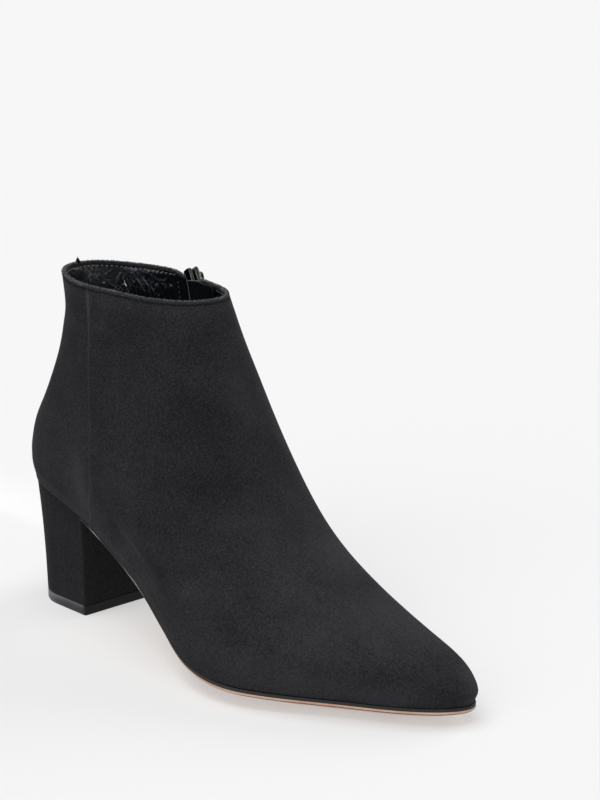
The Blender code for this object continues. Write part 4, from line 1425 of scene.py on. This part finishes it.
def build_heel():
    """Straight lines from the seat's edge to the foot's, drawn in a little halfway, with rounded corners. It
    has a painted highlight at the front corners, and painted shade under the seat and on the breast."""
    top = rounded_outline(seat_loop(), CORNER_ROUND)
    foot = closed_outline(heel_foot_edge(-1.0), heel_foot_edge(1.0))
    foot = np.column_stack([foot, np.full(len(foot), TIP_THICKNESS + GAP)])
    foot = rounded_outline(foot, CORNER_ROUND)
    middle = foot[:, :2].mean(0)
    rings = []
    for share in HEEL_RINGS:
        ring = top * (1 - share) + foot * share
        waist = 1 - HEEL_WAIST * np.sin(np.pi * share)
        edge = 1 - HEEL_EDGE * ramp(min(share, 1 - share), HEEL_EDGE_REACH, 0.0)
        ring[:, :2] = middle + (ring[:, :2] - middle) * waist * edge
        rings.append(ring)
    points, faces = capped_stack(rings)
    x, y, z = points.T
    long, wide = HEEL_CORNER_WIDTHS
    corner = hump(x - x.max(), long) * hump(np.abs(y) - np.abs(y).max(), wide)
    under_seat = hump(np.maximum(through(x, BED["x"], BED["height"]) - z, 0.0), UNDER_SEAT_REACH)
    brushed = HEEL_TONE + HEEL_CORNER_LIGHT * corner - UNDER_SEAT_DARK * under_seat
    brushed = brushed - BREAST_DARK * ramp(x, *BREAST_FADE)
    return make_piece("heel_cover", points, faces, HEEL_SUEDE, brushed=brushed)


HEEL_SUEDE = suede("heel_suede", grey(0.0108, 0.09), grey(0.0275, 0.09), along=(1.0, 1.0, 0.6))
fasten(build_heel(), "heel_suede", "heel")

# Heel tip
# The top piece is a slice of hard black rubber, glued and nailed under the heel. Its edge is sanded flush
# with the cover. Painted highlight lightens its rear and upper rim, and painted shade darkens its breast.
TIP_SECTION = (
    (TIP_THICKNESS, 0.02), (TIP_THICKNESS - 0.15, 0.006), (TIP_THICKNESS - 0.4, 0.0),
    (2.3, 0.0), (0.5, 0.0), (0.15, 0.006), (0.0, 0.018),
)
TIP_DUSTY_REAR = (10.0, -16.0)
TIP_DUSTY_RIM = 0.5


def build_heel_tip():
    """Foot's outline stacked through the slice, a little smaller at both faces. Painted shade on the breast
    and a painted highlight at the rear and the upper rim are kept as marks."""
    foot = rounded_outline(closed_outline(heel_foot_edge(-1.0), heel_foot_edge(1.0)), CORNER_ROUND)
    middle = foot.mean(0)
    rings = []
    for height, trim in TIP_SECTION:
        rings.append(np.column_stack([middle + (foot - middle) * (1 - trim), np.full(len(foot), height)]))
    points, faces = capped_stack(rings)
    # Painted shade on the breast, and a painted highlight at the rear and along the upper rim.
    shaded = ramp(points[:, 0], *BREAST_FADE)
    rim = hump(points[:, 2] - TIP_THICKNESS, TIP_DUSTY_RIM) * (1 - shaded)
    dusty = ramp(points[:, 0], *TIP_DUSTY_REAR) + rim
    return make_piece("heel_tip_rubber", points, faces, tip_rubber("tip_rubber"), shaded=shaded, dusty=dusty)


def tip_rubber(name):
    """Hard rubber: dark grey with sanding marks along its edge and a dull gloss."""
    finish = Finish(name)
    sanding = finish.noise(700.0, 3.0, 0.6, at=finish.mapped((1.0, 1.0, 6.0)))
    dust = finish.noise(90.0, 3.0)
    tone = finish.sums(finish.weighted(sanding, 0.5), finish.weighted(dust, 0.5))
    colour = finish.blend(finish.stretch(tone, 0.35, 0.65), grey(0.030, 0.06), grey(0.055, 0.06))
    # Painted shade darkens the breast, and a painted highlight lightens the rear and the upper rim.
    colour = finish.blend(finish.stretch(finish.attribute("shaded"), 0.0, 1.0), colour, grey(0.020, 0.06))
    colour = finish.blend(finish.stretch(finish.attribute("dusty"), 0.0, 1.2), colour, grey(0.13, 0.06))
    gloss = finish.stretch(dust, 0.3, 0.7, 0.40, 0.55)
    normal = finish.relief(sanding, 0.00015, 0.4)
    return finish.coat(Base_Color=colour, Roughness=gloss, Normal=normal, Specular_IOR_Level=0.05)


fasten(build_heel_tip(), "rubber", "heel_tip")

# Studio
# A pale, faintly glowing floor in an even surround, lit by three broad lights and by a narrow spot for the
# lining's glints. The camera stands in front of the outer side and a little above, as for the photograph.
CAMERA_PLACE = (543.64, -394.71, 237.91)
CAMERA_TURN = np.radians(45.549)
CAMERA_PITCH = np.radians(12.016)
FOCAL_PIXELS = 1423.99
FRAME_HEIGHT = 800
SENSOR_WIDTH = 36.0
FAR_CLIP = 50.0
FLOOR_HALF = 6.0
FLOOR_GREY = 0.41
FLOOR_GLOW = 0.40
SURROUND_PALE = 0.93
SURROUND_LIGHT = 0.20
KEY_SPREAD = np.radians(50)
KEYS = (
    ("top_key", np.radians(-100), np.radians(76), 2.3),
    ("left_key", np.radians(-82), np.radians(26), 1.25),
    ("rim", np.radians(78), np.radians(28), 1.4),
)
GLINT_PLACE = np.array([960.0, -40.0, 820.0])
GLINT_AIM = np.array([20.0, 18.0, 144.0])
GLINT_ENERGY = 66.0
GLINT_CONE = np.radians(3.4)
GLINT_SOFT = 0.05

floor_mesh = bpy.data.meshes.new("floor")
floor_corners = np.array([(-1, -1, 0), (1, -1, 0), (1, 1, 0), (-1, 1, 0)]) * FLOOR_HALF
floor_mesh.from_pydata(floor_corners.tolist(), [], [(0, 1, 2, 3)])
floor = bpy.data.objects.new("floor", floor_mesh)
bpy.context.scene.collection.objects.link(floor)
paper = Finish("studio_paper")
paper.coat(
    Base_Color=grey(FLOOR_GREY), Roughness=0.9, Specular_IOR_Level=0.0, Emission_Color=grey(1.0),
    Emission_Strength=FLOOR_GLOW,
)
floor_mesh.materials.append(paper.material)

world = bpy.data.worlds.new("studio_surround")
world.use_nodes = True
surround = world.node_tree.nodes["Background"]
surround.inputs["Color"].default_value = grey(1.0)
surround.inputs["Strength"].default_value = SURROUND_LIGHT
seen = world.node_tree.nodes.new("ShaderNodeBackground")
seen.inputs["Color"].default_value = grey(SURROUND_PALE)
path = world.node_tree.nodes.new("ShaderNodeLightPath")
either = world.node_tree.nodes.new("ShaderNodeMixShader")
links = world.node_tree.links
links.new(path.outputs["Is Camera Ray"], either.inputs[0])
links.new(surround.outputs[0], either.inputs[1])
links.new(seen.outputs[0], either.inputs[2])
links.new(either.outputs[0], world.node_tree.nodes["World Output"].inputs["Surface"])
bpy.context.scene.world = world

for name, bearing, height, energy in KEYS:
    key = bpy.data.lights.new(name, "SUN")
    key.energy = energy
    key.angle = KEY_SPREAD
    lamp = bpy.data.objects.new(name, key)
    lamp.rotation_euler = (np.pi / 2 - height, 0.0, bearing + np.pi / 2)
    bpy.context.scene.collection.objects.link(lamp)

glint = bpy.data.lights.new("glint", "SPOT")
glint.energy = GLINT_ENERGY
glint.spot_size = GLINT_CONE
glint.spot_blend = 1.0
glint.shadow_soft_size = GLINT_SOFT
glint_lamp = bpy.data.objects.new("glint", glint)
glint_lamp.location = GLINT_PLACE * MM
aim = GLINT_AIM - GLINT_PLACE
glint_tilt = np.arctan2(np.hypot(aim[0], aim[1]), -aim[2])
glint_lamp.rotation_euler = (glint_tilt, 0.0, np.arctan2(aim[1], aim[0]) - np.pi / 2)
bpy.context.scene.collection.objects.link(glint_lamp)

camera_data = bpy.data.cameras.new("camera")
camera_data.sensor_width = SENSOR_WIDTH
camera_data.lens = FOCAL_PIXELS * SENSOR_WIDTH / FRAME_HEIGHT
camera_data.clip_end = FAR_CLIP
camera = bpy.data.objects.new("camera", camera_data)
camera.location = np.array(CAMERA_PLACE) * MM
camera.rotation_euler = (np.pi / 2 - CAMERA_PITCH, 0.0, CAMERA_TURN)
bpy.context.scene.collection.objects.link(camera)
bpy.context.scene.camera = camera
bpy.context.scene.view_settings.view_transform = "Standard"
